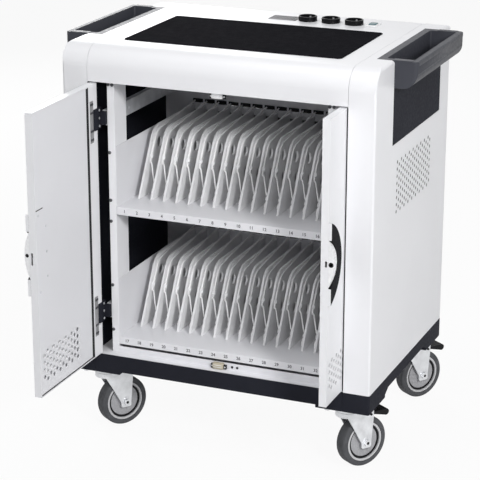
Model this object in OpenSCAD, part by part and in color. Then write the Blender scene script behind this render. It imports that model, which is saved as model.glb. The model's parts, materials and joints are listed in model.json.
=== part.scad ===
// Laptop charging cart: a cabinet on casters with two slotted shelves behind a pair of pocket doors.
// Millimetres, Z up, front towards -Y. Z = 0 is the floor, X = Y = 0 is the middle of the cabinet.
// It rests as it is loaded: the left door swung open and drawn out, the right door parked in its pocket.

/* [Cabinet] */
// Width over the side shells
body_w = 770; // [750:5:800]
// Depth from the front columns to the rear panel
body_d = 560; // [550:5:620]
// Height of the top surface above the floor
body_top = 975; // [970:1:1010]
// Thickness of the outer shells
skin = 2.5; // [1.5:0.25:3]
// Thickness of the inner sheet metal
sheet = 1.5; // [1:0.25:2]
// Radius along the top side edges
side_edge_r = 8; // [5:0.5:14]
// Radius along the top front edge
front_edge_r = 50; // [35:1:60]
// Radius along the top rear edge
rear_edge_r = 20; // [10:1:30]
// Radius of the upright corners
corner_r = 5; // [4:0.5:12]
// Width of each front column
column_w = 64; // [58:1:70]
// Height of the front fascia, from the top surface down
fascia_h = 84; // [76:1:92]
// Depth of the flange under the front fascia
fascia_return = 48; // [40:1:60]
// Distance of the inner frame behind the column fronts
frame_set_back = 25; // [22:1:32]
// Width of the seam between the top and the sides
seam = 0.8; // [0.4:0.1:1.2]
// Gap left between pieces that sit on each other
seat_gap = 0.2; // [0.1:0.05:0.3]

/* [Side vents] */
// Pitch of the staggered vent holes
vent_pitch = 17; // [14:0.5:20]
// Diameter of one vent hole
vent_hole_d = 10; // [5:0.5:11]
// Columns of vent holes in each side
side_vent_columns = 18; // [8:1:18]
// Rows of vent holes in each side
side_vent_rows = 8; // [3:1:9]
// Distance of the first side vent column behind the front
side_vent_front = 165; // [140:1:190]
// Distance of the highest side vent row below the top surface
side_vent_drop = 245; // [220:1:300]

/* [Top] */
// Width of the anti-slip mat
mat_w = 540; // [480:5:560]
// Depth of the anti-slip mat
mat_d = 302; // [260:2:310]
// Distance of the mat behind the front
mat_front = 89; // [80:1:100]
// Thickness of the mat
mat_t = 3; // [2:0.5:4]
// Depth of the recess that holds the mat
mat_recess = 1; // [0.5:0.25:1.5]
// Height of a socket above the top
socket_rim_h = 12; // [8:0.5:14]
// Outer diameter of a socket rim
socket_d = 46; // [42:1:50]
// Spacing of the three sockets
socket_pitch = 60; // [54:1:66]
// Sideways place of the middle socket
socket_x = 109; // [90:1:130]
// Distance of the sockets behind the front
socket_y = 466; // [440:1:480]
// Bore of a socket well
socket_well_d = 39; // [36:0.5:40]
// Depth of a socket well
socket_well_depth = 17; // [14:0.5:18]

/* [Side grips] */
// Distance of the grip behind the front
grip_front = 123; // [110:1:140]
// Length of the grip
grip_len = 363; // [330:1:370]
// Reach of the grip inwards from the side
grip_in = 42; // [36:1:46]
// Reach of the grip outwards from the side
grip_out = 55; // [45:1:60]
// Depth of the grip moulding below its rim
grip_h = 63; // [56:1:70]
// Radius along the lower outer edge of the grip
grip_belly_r = 36; // [24:1:40]
// Thickness of the hand rail outside the pocket
grip_rail = 15; // [13:0.5:18]
// Width of the rim at the ends and the inner side of the pocket
grip_rim = 18; // [15:0.5:22]
// Floor thickness of the hand pocket
grip_floor = 10; // [8:0.5:12]
// Radius of the corners of the hand pocket
grip_pocket_r = 5; // [3:0.5:8]
// Height of the flange along the top of the grip
grip_flange_h = 10; // [8:0.5:14]
// How far the flange stands out over the wall below it
grip_step = 2; // [1:0.25:3]
// Height of the dark side cover
side_cover_h = 134; // [120:1:150]
// Thickness of the dark side cover
side_cover_t = 2; // [1.5:0.25:2.5]
// Width of the edge that holds the side cover behind the side
side_cover_edge = 6; // [4:0.5:8]

/* [Base] */
// Height of the base rails
base_h = 41; // [34:1:44]
// Extra depth of the caster pads below the rails
pad_drop = 7; // [4:0.5:10]
// Rise of the side rails between the pads
side_rail_rise = 11; // [6:0.5:14]
// Width of the base rails
base_rail_w = 52; // [44:1:60]
// Length of a caster pad along the sides
pad_len = 118; // [112:1:130]
// Width of a caster pad across the front
pad_w = 132; // [124:1:140]
// Width of the corner blocks that end the front rail
corner_block_w = 66; // [56:1:76]

/* [Casters] */
// Wheel diameter
wheel_d = 125; // [120:1:125]
// Room between the tyre and the crown of the fork
wheel_room = 12.2; // [10:0.1:16]
// Width of the tyre
tyre_w = 32; // [28:1:34]
// Thickness of the tyre
tyre_t = 13; // [10:0.5:16]
// Offset of the wheel behind its swivel
trail = 40; // [34:1:44]
// Swivel inset from the sides
caster_inset_x = 70; // [66:1:76]
// Swivel inset from the front and rear
caster_inset_y = 55; // [52:1:60]
// Direction in which the wheels trail, from +X towards +Y
caster_turn = 56; // [0:1:360]
// Thickness of the fork legs
leg_t = 4; // [3:0.5:5]
// Axle diameter
axle_d = 12; // [10:0.5:12]

/* [Doors] */
// Thickness of a door
door_t = 18; // [16:0.5:19]
// Gap between a door and the column beside it
door_gap = 3.5; // [2:0.25:4]
// How far the closed doors stand in front of the columns
door_proud = 6; // [2:0.5:8]
// Gap between the closed doors
door_split = 3; // [2:0.5:5]
// Gap above and below the doors
door_clear = 3.5; // [2.5:0.5:5]
// Thickness of the door sheet
door_sheet = 2; // [1.5:0.25:2.5]
// Width of the solid hinge stile
stile_w = 40; // [34:1:50]
// Width of the shadow gap beside the stile
stile_gap = 3.5; // [2:0.5:5]
// Gap between the foot of a liner and the door's edge
liner_gap = 4; // [1:0.5:6]
// Travel of a door into its pocket
door_travel = 200; // [150:5:210]
// Width of a pocket
pocket_w = 38; // [36:0.5:42]
// Columns of vent holes in a door
door_vent_columns = 12; // [4:1:12]
// Rows of vent holes in a door
door_vent_rows = 5; // [2:1:6]
// Height of the lowest door vent row above the door's foot
door_vent_bottom = 36; // [26:1:60]
// Height of the grip centre above the door's foot
latch_rise = 340.5; // [300:0.5:380]
// Height of the crescent grip
crescent_h = 193; // [160:1:200]
// Width of the crescent grip
crescent_w = 68; // [60:1:72]
// How far the crescent stands out
crescent_t = 7; // [5:0.5:9]
// Height of the latch boss
boss_h = 112; // [96:1:120]
// Width of the latch boss
boss_w = 29; // [26:1:32]
// How far the latch boss stands out
boss_t = 13; // [10:0.5:14]
// Diameter of the lock cylinder
lock_d = 16; // [14:0.5:18]

/* [Door runners] */
// Distance of the upper runner below the door's top
upper_runner_drop = 87.5; // [70:0.5:110]
// Height of the lower runner above the door's foot
lower_runner_rise = 102.5; // [85:0.5:120]
// Height of a runner rail
rail_h = 36; // [30:1:40]
// Depth of a runner rail
rail_w = 13; // [11:0.5:14]
// Length of the sliding runner block
runner_len = 66; // [50:1:80]
// Height of the hinge arm
arm_h = 52; // [44:1:56]
// Diameter of a hinge pin
pin_d = 8; // [6:0.5:9]
// Depth to which a hinge pin enters the door
pin_grip = 24; // [16:1:30]
// Running clearance of pins and shafts, on the radius
running_fit = 0.05; // [0.02:0.01:0.1]

/* [Shelves] */
// Device slots on each shelf
slots = 16; // [10:1:16]
// Width of an inner post
post_w = 18; // [16:1:22]
// Depth of an inner post
post_d = 63; // [50:1:66]
// Height of the lower shelf floor above the body's lower edge
lower_shelf_rise = 42; // [40:0.5:52]
// Height of the upper shelf floor above the lower one
shelf_spacing = 329; // [315:1:345]
// Height of a shelf's front lip
lip_h = 19; // [14:1:21]
// Height of the end plates above a shelf
end_plate_h = 148; // [130:1:152]
// Distance of the partition behind the front
partition_y = 430; // [420:1:440]
// Height of the sill at the cabinet floor
sill_h = 15.5; // [14:0.5:18]

/* [Dividers] */
// Distance of the outer dividers from the ends of the shelf
divider_margin = 21.25; // [19:0.25:26]
// Thickness of a divider
divider_t = 5; // [3:0.5:6]
// Height of a divider
divider_h = 160; // [145:1:165]
// Distance of a divider's foot behind the front
divider_front = 104; // [90:1:112]
// Slope of a divider's front edge
divider_slope = 60.5; // [55:0.5:70]
// Radius of a divider's top front corner
divider_r = 50; // [40:1:60]
// Diameter of a divider's vent holes
divider_hole_d = 26; // [16:1:28]
// Pitch of a divider's vent holes
divider_hole_pitch = 52; // [44:1:54]

/* [Charging leads] */
// Diameter of a charging lead
lead_d = 3.5; // [3:0.25:4]
// Distance of a lead below the divider's edge
lead_inset = 12; // [10:0.5:14]
// Height of the middle of a cable slot above the dividers
cable_slot_rise = 11; // [9:0.5:14]
// Height above the shelf at which a lead leaves its divider
lead_leave_z = 76; // [70:1:84]
// Height above the shelf at which a lead reaches the next divider
lead_land_z = 38; // [38:1:44]
// Length of a lead's plug
plug_len = 20; // [16:1:20]
// Width of a lead's plug
plug_w = 9; // [8:0.5:11]
// Thickness of a lead's plug
plug_t = 5; // [4:0.25:6]

/* [Power] */
// Length of a power strip
strip_len = 500; // [420:5:520]
// Depth of a power strip
strip_d = 46; // [40:1:56]
// Height of a power strip
strip_h = 62; // [56:1:66]
// Outlets in a power strip
strip_outlets = 8; // [4:1:8]
// Spacing of the outlets
outlet_pitch = 62; // [50:1:64]
// Bore of an outlet
outlet_d = 39; // [36:0.5:40]
// Depth of an outlet
outlet_depth = 15; // [12:0.5:18]
// Distance of a strip below the cable slots
strip_drop = 4; // [2:0.5:10]
// Width of the charging controller
controller_w = 200; // [160:5:240]
// Height of the charging controller
controller_h = 100; // [80:1:110]
// Depth of the charging controller
controller_d = 60; // [50:1:70]
// Height of the controller above the lower strip
controller_rise = 26; // [10:1:40]
// Sideways place of the mains inlet
inlet_x = 200; // [150:1:230]
// Height of the mains inlet above the body's lower edge
inlet_rise = 64.5; // [50:0.5:90]
// Width of the inlet body
inlet_w = 28; // [27:0.5:30]
// Height of the inlet body
inlet_h = 21; // [20:0.5:24]
// Depth of the inlet body
inlet_d = 40; // [32:1:44]
// Thickness of the inlet flange
inlet_flange_t = 3; // [2:0.25:4]
// Length of a rear vent slot
rear_slot_w = 90; // [70:1:110]
// Height of a rear vent slot
rear_slot_h = 5; // [3:0.5:7]
// Rows of rear vent slots behind each shelf
rear_slot_rows = 8; // [4:1:8]
// Pitch of the rear vent slots
rear_slot_pitch = 14; // [10:0.5:14]
// Spacing of the rear vent columns
rear_slot_spacing = 160; // [130:1:180]
// Height of the first rear vent slot above the dividers
rear_slot_rise = 10; // [4:1:14]

/* [Hidden] */
$fn = 64;
white = [0.92, 0.92, 0.93];
pale = [0.80, 0.81, 0.83];
charcoal = [0.22, 0.23, 0.25];
black = [0.07, 0.07, 0.08];
zinc = [0.66, 0.67, 0.69];
sliver = 0.5;
front = -body_d / 2;
rear = body_d / 2;
side_x = body_w / 2;
column_x = side_x - column_w;
wall_x = column_x + sheet;
post_out_x = column_x - pocket_w;
bay_x = post_out_x - post_w;
frame_y = front + frame_set_back;
back_y = front + partition_y;
slot_pitch = 2 * (bay_x - divider_margin) / (slots - 1);
vent_step = vent_pitch * sin(60);

// Heights, from the floor up
wheel_r = wheel_d / 2;
plate_t = 4;
race_h = 12;
crown_h = 12;
swivel_gap = 0.4;
crown_top = wheel_d + wheel_room + crown_h;
plate_top = crown_top + swivel_gap + race_h + plate_t;
pad_bottom = plate_top + seat_gap;
base_rail_bottom = pad_bottom + pad_drop;
base_top = base_rail_bottom + base_h;
body_bottom = base_top + seat_gap;
floor_top = body_bottom + sheet;
lower_shelf_z = body_bottom + lower_shelf_rise;
upper_shelf_z = lower_shelf_z + shelf_spacing;
fascia_bottom = body_top - fascia_h;
side_cover_top = body_top - grip_h - seat_gap;
side_cover_bottom = side_cover_top - side_cover_h;
side_vent_bottom = body_top - side_vent_drop - (side_vent_rows - 1) * vent_pitch;

// Small features
socket_body_depth = 32;
pin_hole_d = 5;
pin_hole_span = 19;
catch_w = 40;
catch_h = 16;
vent_margin = 20;

// Doors: a leaf is drawn round its pivot, with its free edge towards +X and its outer face towards -Y
pivot_x = column_x - door_gap - door_t / 2;
pivot_y = front - door_proud + door_t / 2;
leaf_w = pivot_x - door_split / 2;
leaf_r = door_t / 2;
leaf_bottom = body_bottom + door_clear;
leaf_top = fascia_bottom - door_clear;
latch_z = leaf_bottom + latch_rise;
upper_runner_z = leaf_top - upper_runner_drop;
lower_runner_z = leaf_bottom + lower_runner_rise;
notch_clear = 1;
notch_d = leaf_r + 8;
pin_half = arm_h / 2 + notch_clear + pin_grip;
arm_r = leaf_r - 1;
arm_reach = 24;
cover_edge = 0.5;
lock_inset = 14;
lock_proud = 1.5;
cam_t = 3;
cam_w = 10;
cam_reach = 20;
cam_clear = 1;
keeper_d = boss_t - 4;
keeper_depth = 16;

// Casters: a caster is drawn round its swivel, trailing towards +X
race_r = 30;
kingpin_r = 10;
leg_in = tyre_w / 2 + 2.5;
leg_out = leg_in + leg_t;
hub_gap = 0.3;
boss_r = 14;
leg_end_r = 5;
axle_head_d = 17;
leg_front = 22;
leg_back = 8;
pedal_x = trail + 12;
pedal_z = crown_top - crown_h - 5;
pedal_pin_r = 3;
pedal_w = 42;
pedal_len = 54;
pedal_t = 7;
pedal_fall = 9;
pedal_toe_r = 8;
web_t = 22;
rim_t = 6;
rim_groove = 3.5;
rim_inset = 1;
groove_depth = 5;

// Divider outline, measured from the front and from the shelf floor
corner_y = divider_front + divider_h / tan(divider_slope);
corner_len = divider_r * tan(divider_slope / 2);
corner_low = [corner_y - corner_len * cos(divider_slope), divider_h - corner_len * sin(divider_slope)];
corner_high = [corner_y + corner_len, divider_h];
corner_mid = [corner_high.x, divider_h - divider_r];
divider_back = partition_y - seat_gap;
hole_rows = [divider_h - 46 - divider_hole_pitch, divider_h - 46];
hole_columns = [for (i = [0:3]) corner_mid.x - 3 + i * divider_hole_pitch];

// Charging leads: each runs down one divider, crosses the slot and ends in a plug by the next divider
lead_r = lead_d / 2;
lead_off = divider_t / 2 + lead_r + seat_gap;
lead_bend_r = divider_r - lead_inset;
cable_z = divider_h + cable_slot_rise;
lead_sides = 6;
lead_tail = 6;
bend_steps = 4;
plug_foot = 6;
clip_r = 4.4;
clip_len = 8;
clip_above = 14;
clip_below = 9;
cable_slot_w = 22;
cable_slot_h = 12;
cable_slot_r = 5;
strip_rise = cable_z - cable_slot_h / 2 - strip_drop - strip_h;

// Box between two corners
module block(low, high) {
    translate(low) cube(high - low);
}

// Rectangle with round corners, from two corners
module round_rect(low, high, r) {
    size = high - low;
    translate(low + [r, 0]) square([size.x - 2 * r, size.y]);
    translate(low + [0, r]) square([size.x, size.y - 2 * r]);
    for (x = [low.x + r, high.x - r], y = [low.y + r, high.y - r])
        translate([x, y]) circle(r);
}

// Sweeps a front view, drawn in X and Z, along Y
module along_y(from, to) {
    translate([0, to, 0]) rotate([90, 0, 0]) linear_extrude(to - from) children();
}

// Sweeps a side view, drawn in Y and Z, along X
module along_x(from, to) {
    translate([from, 0, 0]) rotate([90, 0, 90]) linear_extrude(to - from) children();
}

// Round bar between two heights
module upright(x, y, low, high, r) {
    translate([x, y, low]) cylinder(r = r, h = high - low);
}

// Round bar along X
module bar_x(from, to, y, z, r) {
    translate([from, y, z]) rotate([0, 90, 0]) cylinder(r = r, h = to - from);
}

// Round bar along Y
module bar_y(from, to, x, z, r) {
    translate([x, from, z]) rotate([-90, 0, 0]) cylinder(r = r, h = to - from);
}

// Copies what is drawn on the right to the left
module on_left() {
    mirror([1, 0, 0]) children();
}

// Outline of the whole body, taken in by inset on every side but the bottom
module body_envelope(inset) {
    intersection() {
        along_y(front - 1, rear + 1) body_front_view(inset);
        along_x(-side_x - 1, side_x + 1) body_side_view(inset);
        translate([0, 0, body_bottom - 1])
            linear_extrude(body_top - body_bottom + 2)
                round_rect([-side_x + inset, front + inset], [side_x - inset, rear - inset],
                           corner_r - inset);
    }
}

module body_front_view(inset) {
    half = side_x - inset;
    shoulder = body_top - side_edge_r;
    translate([-half, body_bottom]) square([2 * half, shoulder - body_bottom]);
    translate([side_edge_r - side_x, body_bottom])
        square([2 * (side_x - side_edge_r), body_top - inset - body_bottom]);
    for (side = [-1, 1])
        translate([side * (side_x - side_edge_r), shoulder]) circle(side_edge_r - inset);
}

module body_side_view(inset) {
    front_shoulder = body_top - front_edge_r;
    rear_shoulder = body_top - rear_edge_r;
    translate([front + inset, body_bottom])
        square([body_d / 2 - inset, front_shoulder - body_bottom]);
    translate([0, body_bottom]) square([body_d / 2 - inset, rear_shoulder - body_bottom]);
    translate([front + front_edge_r, body_bottom])
        square([body_d - front_edge_r - rear_edge_r, body_top - inset - body_bottom]);
    translate([front + front_edge_r, front_shoulder]) circle(front_edge_r - inset);
    translate([rear - rear_edge_r, rear_shoulder]) circle(rear_edge_r - inset);
}

// Staggered vent holes, drawn flat from the lowest hole of the first column
module vent_field(columns, rows) {
    for (c = [0:columns - 1], r = [0:rows - 1 - c % 2])
        translate([c * vent_step, (r + (c % 2) / 2) * vent_pitch]) circle(d = vent_hole_d);
}

// Hollow side of the cabinet with its front column, open towards the inside
module side_shell() {
    color(white) difference() {
        intersection() {
            body_envelope(0);
            block([column_x, front - 1, body_bottom], [side_x + 1, rear + 1, body_top + 1]);
        }
        body_envelope(skin);
        grip_space(seat_gap);
        along_x(side_x - 2 * skin, side_x + 1) {
            translate([front + side_vent_front, side_vent_bottom])
                vent_field(side_vent_columns, side_vent_rows);
            side_cover_view(seat_gap);
        }
    }
}

module right_side_shell() {
    side_shell();
}

module left_side_shell() {
    on_left() side_shell();
}

// Inner wall of a side, which the parked door runs along
module pocket_wall() {
    color(charcoal)
        block([column_x, front + skin + seat_gap, floor_top + seat_gap],
              [wall_x, rear - skin - seat_gap, fascia_bottom - seat_gap]);
}

module right_pocket_wall() {
    pocket_wall();
}

module left_pocket_wall() {
    on_left() pocket_wall();
}

// Space of a side grip in the shoulder of the body, grown by spread
module grip_space(spread) {
    block([side_x - grip_in - spread, front + grip_front - spread, body_top - grip_h - spread],
          [side_x + grip_out, front + grip_front + grip_len + spread, body_top + 2 * spread + 1]);
}

// Moulded side grip: a hand pocket whose outer wall is the hand rail, with a flange along its top
module side_grip() {
    low = body_top - grip_h;
    inner_x = side_x - grip_in;
    outer_x = side_x + grip_out;
    wall_out = outer_x - grip_step;
    y0 = front + grip_front;
    y1 = y0 + grip_len;
    end_r = 12;
    lip_r = 4;
    color(charcoal) difference() {
        intersection() {
            along_y(y0, y1) {
                translate([inner_x, low]) square([wall_out - inner_x - grip_belly_r, grip_h - lip_r]);
                translate([inner_x, low + grip_belly_r])
                    square([wall_out - inner_x, grip_h - grip_belly_r - lip_r]);
                translate([wall_out - grip_belly_r, low + grip_belly_r]) circle(grip_belly_r);
                translate([inner_x, body_top - grip_flange_h])
                    square([outer_x - inner_x, grip_flange_h - lip_r]);
                translate([inner_x, body_top - grip_flange_h])
                    square([outer_x - inner_x - lip_r, grip_flange_h]);
                translate([outer_x - lip_r, body_top - lip_r]) circle(lip_r);
            }
            translate([0, 0, low - 1]) linear_extrude(grip_h + 2) {
                translate([inner_x, y0]) square([outer_x - inner_x - end_r, grip_len]);
                translate([inner_x, y0 + end_r]) square([outer_x - inner_x, grip_len - 2 * end_r]);
                for (y = [y0 + end_r, y1 - end_r]) translate([outer_x - end_r, y]) circle(end_r);
            }
        }
        translate([0, 0, low + grip_floor])
            linear_extrude(grip_h)
                round_rect([inner_x + grip_rim, y0 + grip_rim], [outer_x - grip_rail, y1 - grip_rim],
                           grip_pocket_r);
    }
}

module right_grip() {
    side_grip();
}

module left_grip() {
    on_left() side_grip();
}

// Side view of the dark cover below the grip, grown by spread
module side_cover_view(spread) {
    translate([front + grip_front - spread, side_cover_bottom - spread])
        square([grip_len + 2 * spread, side_cover_h + 2 * spread]);
}

// Dark cover flush in the side, held by an edge behind it
module side_cover() {
    seat_x = side_x - skin - seat_gap;
    color(charcoal) {
        along_x(seat_x - sliver, seat_x + seat_gap + side_cover_t) side_cover_view(0);
        along_x(seat_x - side_cover_t, seat_x)
            translate([front + grip_front - side_cover_edge, side_cover_bottom - side_cover_edge])
                square([grip_len + 2 * side_cover_edge, side_cover_h + side_cover_edge]);
    }
}

module right_side_cover() {
    side_cover();
}

module left_side_cover() {
    on_left() side_cover();
}

// Top with the rounded front fascia, the mat recess and the socket holes
module top_cover() {
    half = column_x - seam;
    color(white) {
        difference() {
            intersection() {
                body_envelope(0);
                block([-half, front - 1, fascia_bottom], [half, rear + 1, body_top + 1]);
            }
            body_envelope(skin);
            mat_shape(body_top - mat_recess, 10, seat_gap);
            for (i = [-1:1])
                upright(socket_x + i * socket_pitch, front + socket_y, body_top - 10, body_top + 10,
                        socket_d / 2 - 1.5 + seat_gap);
        }
        block([-half, front + skin - sliver, fascia_bottom],
              [half, front + fascia_return, fascia_bottom + sheet]);
    }
}

module mat_shape(low, height, spread) {
    translate([0, 0, low])
        linear_extrude(height)
            round_rect([-mat_w / 2 - spread, front + mat_front - spread],
                       [mat_w / 2 + spread, front + mat_front + mat_d + spread], 10);
}

module top_mat() {
    color(black) mat_shape(body_top - mat_recess, mat_t, 0);
}

// Three earthed sockets in the rear strip of the top
module top_sockets() {
    rim_r = socket_d / 2;
    color(black)
        for (i = [-1:1]) translate([socket_x + i * socket_pitch, front + socket_y, body_top]) {
            difference() {
                union() {
                    translate([0, 0, seat_gap]) cylinder(r = rim_r, h = socket_rim_h);
                    translate([0, 0, -socket_body_depth])
                        cylinder(r = rim_r - 1.5, h = socket_body_depth + seat_gap + 1);
                }
                translate([0, 0, socket_rim_h + seat_gap - socket_well_depth])
                    cylinder(d = socket_well_d, h = socket_well_depth + 1);
                for (side = [-1, 1])
                    translate([side * pin_hole_span / 2, 0, -socket_body_depth + 4])
                        cylinder(d = pin_hole_d, h = socket_body_depth);
            }
        }
}

// Dark base: rails that rise along the sides between four deeper caster pads
module base_frame() {
    pad_y = rear - pad_len;
    pad_x = side_x - pad_w;
    slope = 24;
    groove = 1.2;
    color(charcoal) intersection() {
        difference() {
            union() {
                for (side = [-1, 1])
                    along_x(side == 1 ? side_x - base_rail_w : -side_x,
                            side == 1 ? side_x : -side_x + base_rail_w)
                        polygon([
                            [front, base_top], [rear, base_top], [rear, base_rail_bottom],
                            [pad_y - sliver, base_rail_bottom],
                            [pad_y - slope, base_rail_bottom + side_rail_rise],
                            [slope - pad_y, base_rail_bottom + side_rail_rise],
                            [sliver - pad_y, base_rail_bottom], [front, base_rail_bottom]
                        ]);
                for (side = [-1, 1])
                    block([-side_x, side == 1 ? rear - base_rail_w : front, base_rail_bottom],
                          [side_x, side == 1 ? rear : front + base_rail_w, base_top]);
                for (x = [-1, 1], y = [-1, 1])
                    block([x == 1 ? pad_x : -side_x, y == 1 ? pad_y : front, pad_bottom],
                          [x == 1 ? side_x : -pad_x, y == 1 ? rear : -pad_y, base_top]);
            }
            for (side = [-1, 1])
                translate([side * (side_x - corner_block_w) - groove / 2, front - 1, pad_bottom - 1])
                    cube([groove, groove + 1, base_top - pad_bottom + 2]);
        }
        translate([0, 0, pad_bottom - 1])
            linear_extrude(base_top - pad_bottom + 2)
                round_rect([-side_x, front], [side_x, rear], corner_r);
    }
}

// Cabinet floor with the sill under the lower shelf
module floor_pan() {
    color(pale) {
        block([-column_x + seat_gap, front + skin + seat_gap, body_bottom],
              [column_x - seat_gap, rear - 2 * skin - seat_gap, floor_top]);
        block([-bay_x + seat_gap, frame_y, floor_top - sliver],
              [bay_x - seat_gap, frame_y + sheet, floor_top + sill_h]);
    }
}

// Folded channel beside the shelves, open to the rear
module post() {
    low = floor_top + seat_gap;
    high = fascia_bottom - seat_gap;
    color(white) difference() {
        block([bay_x, frame_y, low], [post_out_x, frame_y + post_d, high]);
        block([bay_x + sheet, frame_y + sheet, low - 1],
              [post_out_x - sheet, frame_y + post_d + 1, high + 1]);
    }
}

module right_post() {
    post();
}

module left_post() {
    on_left() post();
}

// Wall between the shelves and the adapter space, with a cable slot behind each divider
module partition() {
    low = floor_top + seat_gap;
    high = fascia_bottom - seat_gap;
    half = column_x - seat_gap;
    color(pale) along_y(back_y, back_y + sheet)
        difference() {
            translate([-half, low]) square([2 * half, high - low]);
            for (z = [upper_shelf_z, lower_shelf_z], i = [1:slots])
                translate([divider_x(i) + divider_t / 2 - 1, z + cable_z - cable_slot_h / 2])
                    round_rect([0, 0], [cable_slot_w, cable_slot_h], cable_slot_r);
        }
}

// Screwed rear panel with two vent fields and the inlet cut-out
module rear_panel() {
    half = column_x - 2 * seat_gap;
    low = body_bottom + seat_gap;
    high = fascia_bottom - seat_gap;
    first = divider_h + rear_slot_rise;
    color(white) difference() {
        block([-half, rear - 2 * skin, low], [half, rear, high]);
        block([-half + skin, rear - 2 * skin - 1, low + skin], [half - skin, rear - skin, high - skin]);
        for (z = [lower_shelf_z, upper_shelf_z], x = [-1, 0, 1], i = [0:rear_slot_rows - 1])
            translate([x * rear_slot_spacing - rear_slot_w / 2, rear - skin - 1,
                       z + first + i * rear_slot_pitch])
                cube([rear_slot_w, skin + 2, rear_slot_h]);
        inlet_body(seat_gap);
    }
}

// Front view of the mains inlet, grown by spread
module inlet_view(spread, r) {
    z = body_bottom + inlet_rise;
    round_rect([inlet_x - inlet_w / 2 - spread, z - inlet_h / 2 - spread],
               [inlet_x + inlet_w / 2 + spread, z + inlet_h / 2 + spread], r);
}

// Body of the mains inlet, grown by spread
module inlet_body(spread) {
    along_y(rear - inlet_d - spread, rear + seat_gap) inlet_view(spread, 1);
}

module mains_inlet() {
    flange = 8;
    wall = 2.5;
    well = 16;
    color(black) difference() {
        union() {
            inlet_body(0);
            along_y(rear + seat_gap, rear + seat_gap + inlet_flange_t) inlet_view(flange, 4);
        }
        along_y(rear - well, rear + inlet_flange_t + 1) inlet_view(-wall, 2);
    }
}

function divider_x(i) = -bay_x + divider_margin + (i - 1) * slot_pitch;

// Folded shelf with a front lip and an end plate at each side
module shelf(z) {
    half = bay_x - seat_gap;
    color(pale) {
        block([-half, frame_y, z - sheet], [half, back_y - seat_gap, z]);
        block([-half, frame_y, z - lip_h], [half, frame_y + sheet, z - sliver]);
        for (side = [-1, 1])
            block([side == 1 ? half - sheet : -half, frame_y + sheet, z - sliver],
                  [side == 1 ? half : sheet - half, back_y - seat_gap, z + end_plate_h]);
    }
}

module upper_shelf() {
    shelf(upper_shelf_z);
}

module lower_shelf() {
    shelf(lower_shelf_z);
}

// Side view of a divider, from the front of the cabinet and the shelf floor
module divider_view() {
    difference() {
        union() {
            polygon([
                [divider_front, seat_gap], corner_low, corner_high,
                [divider_back, divider_h], [divider_back, seat_gap]
            ]);
            intersection() {
                translate(corner_mid) circle(divider_r);
                polygon([corner_low, [corner_y, divider_h], corner_high]);
            }
        }
        for (y = hole_columns, z = hole_rows) translate([y, z]) circle(d = divider_hole_d);
    }
}

module dividers(z) {
    color(white)
        for (i = [1:slots])
            translate([0, front, z])
                along_x(divider_x(i) - divider_t / 2, divider_x(i) + divider_t / 2) divider_view();
}

module upper_dividers() {
    dividers(upper_shelf_z);
}

module lower_dividers() {
    dividers(lower_shelf_z);
}

// Point on the line that a lead follows down a divider's sloping edge, at a height above the shelf
lead_edge_y = corner_mid.x - lead_bend_r * sin(divider_slope);
lead_edge_z = corner_mid.y + lead_bend_r * cos(divider_slope);
function lead_slope(z) = [lead_edge_y - (lead_edge_z - z) / tan(divider_slope), z];

// Distance from the middle of a divider to the face beyond its slot
function slot_reach(i) = i < slots ? slot_pitch - divider_t / 2 : divider_margin - sheet - seat_gap;

// Route of one lead: offsets across from its divider, depth from the front and height above the shelf
function lead_route(reach) = let (
    here = lead_off,
    next = reach - lead_r - seat_gap,
    bend = [for (i = [0:bend_steps])
        let (a = 90 + divider_slope * i / bend_steps)
        [here, corner_mid.x + lead_bend_r * cos(a), corner_mid.y + lead_bend_r * sin(a)]],
    leave = lead_slope(lead_leave_z),
    land = lead_slope(lead_land_z),
    end = lead_slope(plug_foot + plug_len * sin(divider_slope)),
    ease = 0.18,
    turn = 5
) concat(
    [[here, partition_y + lead_tail, cable_z]],
    bend,
    [
        [here, lead_slope(lead_leave_z + turn).x, lead_leave_z + turn],
        [here + ease * (next - here), leave.x, leave.y - turn / 2],
        [next - ease * (next - here), land.x, land.y + turn / 2],
        [next, lead_slope(lead_land_z - turn).x, lead_land_z - turn],
        [next, end.x, end.y]
    ]
);

function unit(v) = v / norm(v);

// Ring of points round a route, square to its run there
function ring(path, i, r) = let (
    last = len(path) - 1,
    before = i == 0 ? path[1] - path[0] : path[i] - path[i - 1],
    after = i == last ? before : path[i + 1] - path[i],
    run = unit(unit(before) + unit(after)),
    across = unit(cross(run, [1, 0, 0])),
    up = cross(across, run)
) [for (s = [0:lead_sides - 1])
    let (a = 360 * s / lead_sides) path[i] + r * (cos(a) * across + sin(a) * up)];

// Tube along a route
module tube(path, r) {
    n = lead_sides;
    last = len(path) - 1;
    points = [for (i = [0:last]) each ring(path, i, r)];
    sides = [for (i = [0:last - 1], s = [0:n - 1])
        let (t = (s + 1) % n, a = i * n + s, b = i * n + t)
        each [[a, b, b + n], [a, b + n, a + n]]];
    caps = [
        [for (s = [n - 1:-1:0]) s],
        [for (s = [0:n - 1]) last * n + s]
    ];
    polyhedron(points, concat(sides, caps));
}

module leads(z) {
    color(white)
        for (i = [1:slots])
            translate([divider_x(i), front, z]) tube(lead_route(slot_reach(i)), lead_r);
}

module upper_leads() {
    leads(upper_shelf_z);
}

module lower_leads() {
    leads(lower_shelf_z);
}

// Saddle that holds a lead against the left or right face of a divider
module lead_clip(side, height) {
    at = lead_slope(height);
    face = divider_t / 2;
    color(white) difference() {
        translate([side * lead_off, at.x, at.y])
            rotate([divider_slope - 90, 0, 0])
                difference() {
                    cylinder(r = clip_r, h = clip_len, center = true);
                    cylinder(r = lead_r + seat_gap / 2, h = clip_len + 1, center = true);
                }
        block([side == 1 ? -clip_r : -face, 0, 0], [side == 1 ? face : clip_r, partition_y, divider_h]);
    }
}

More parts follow.
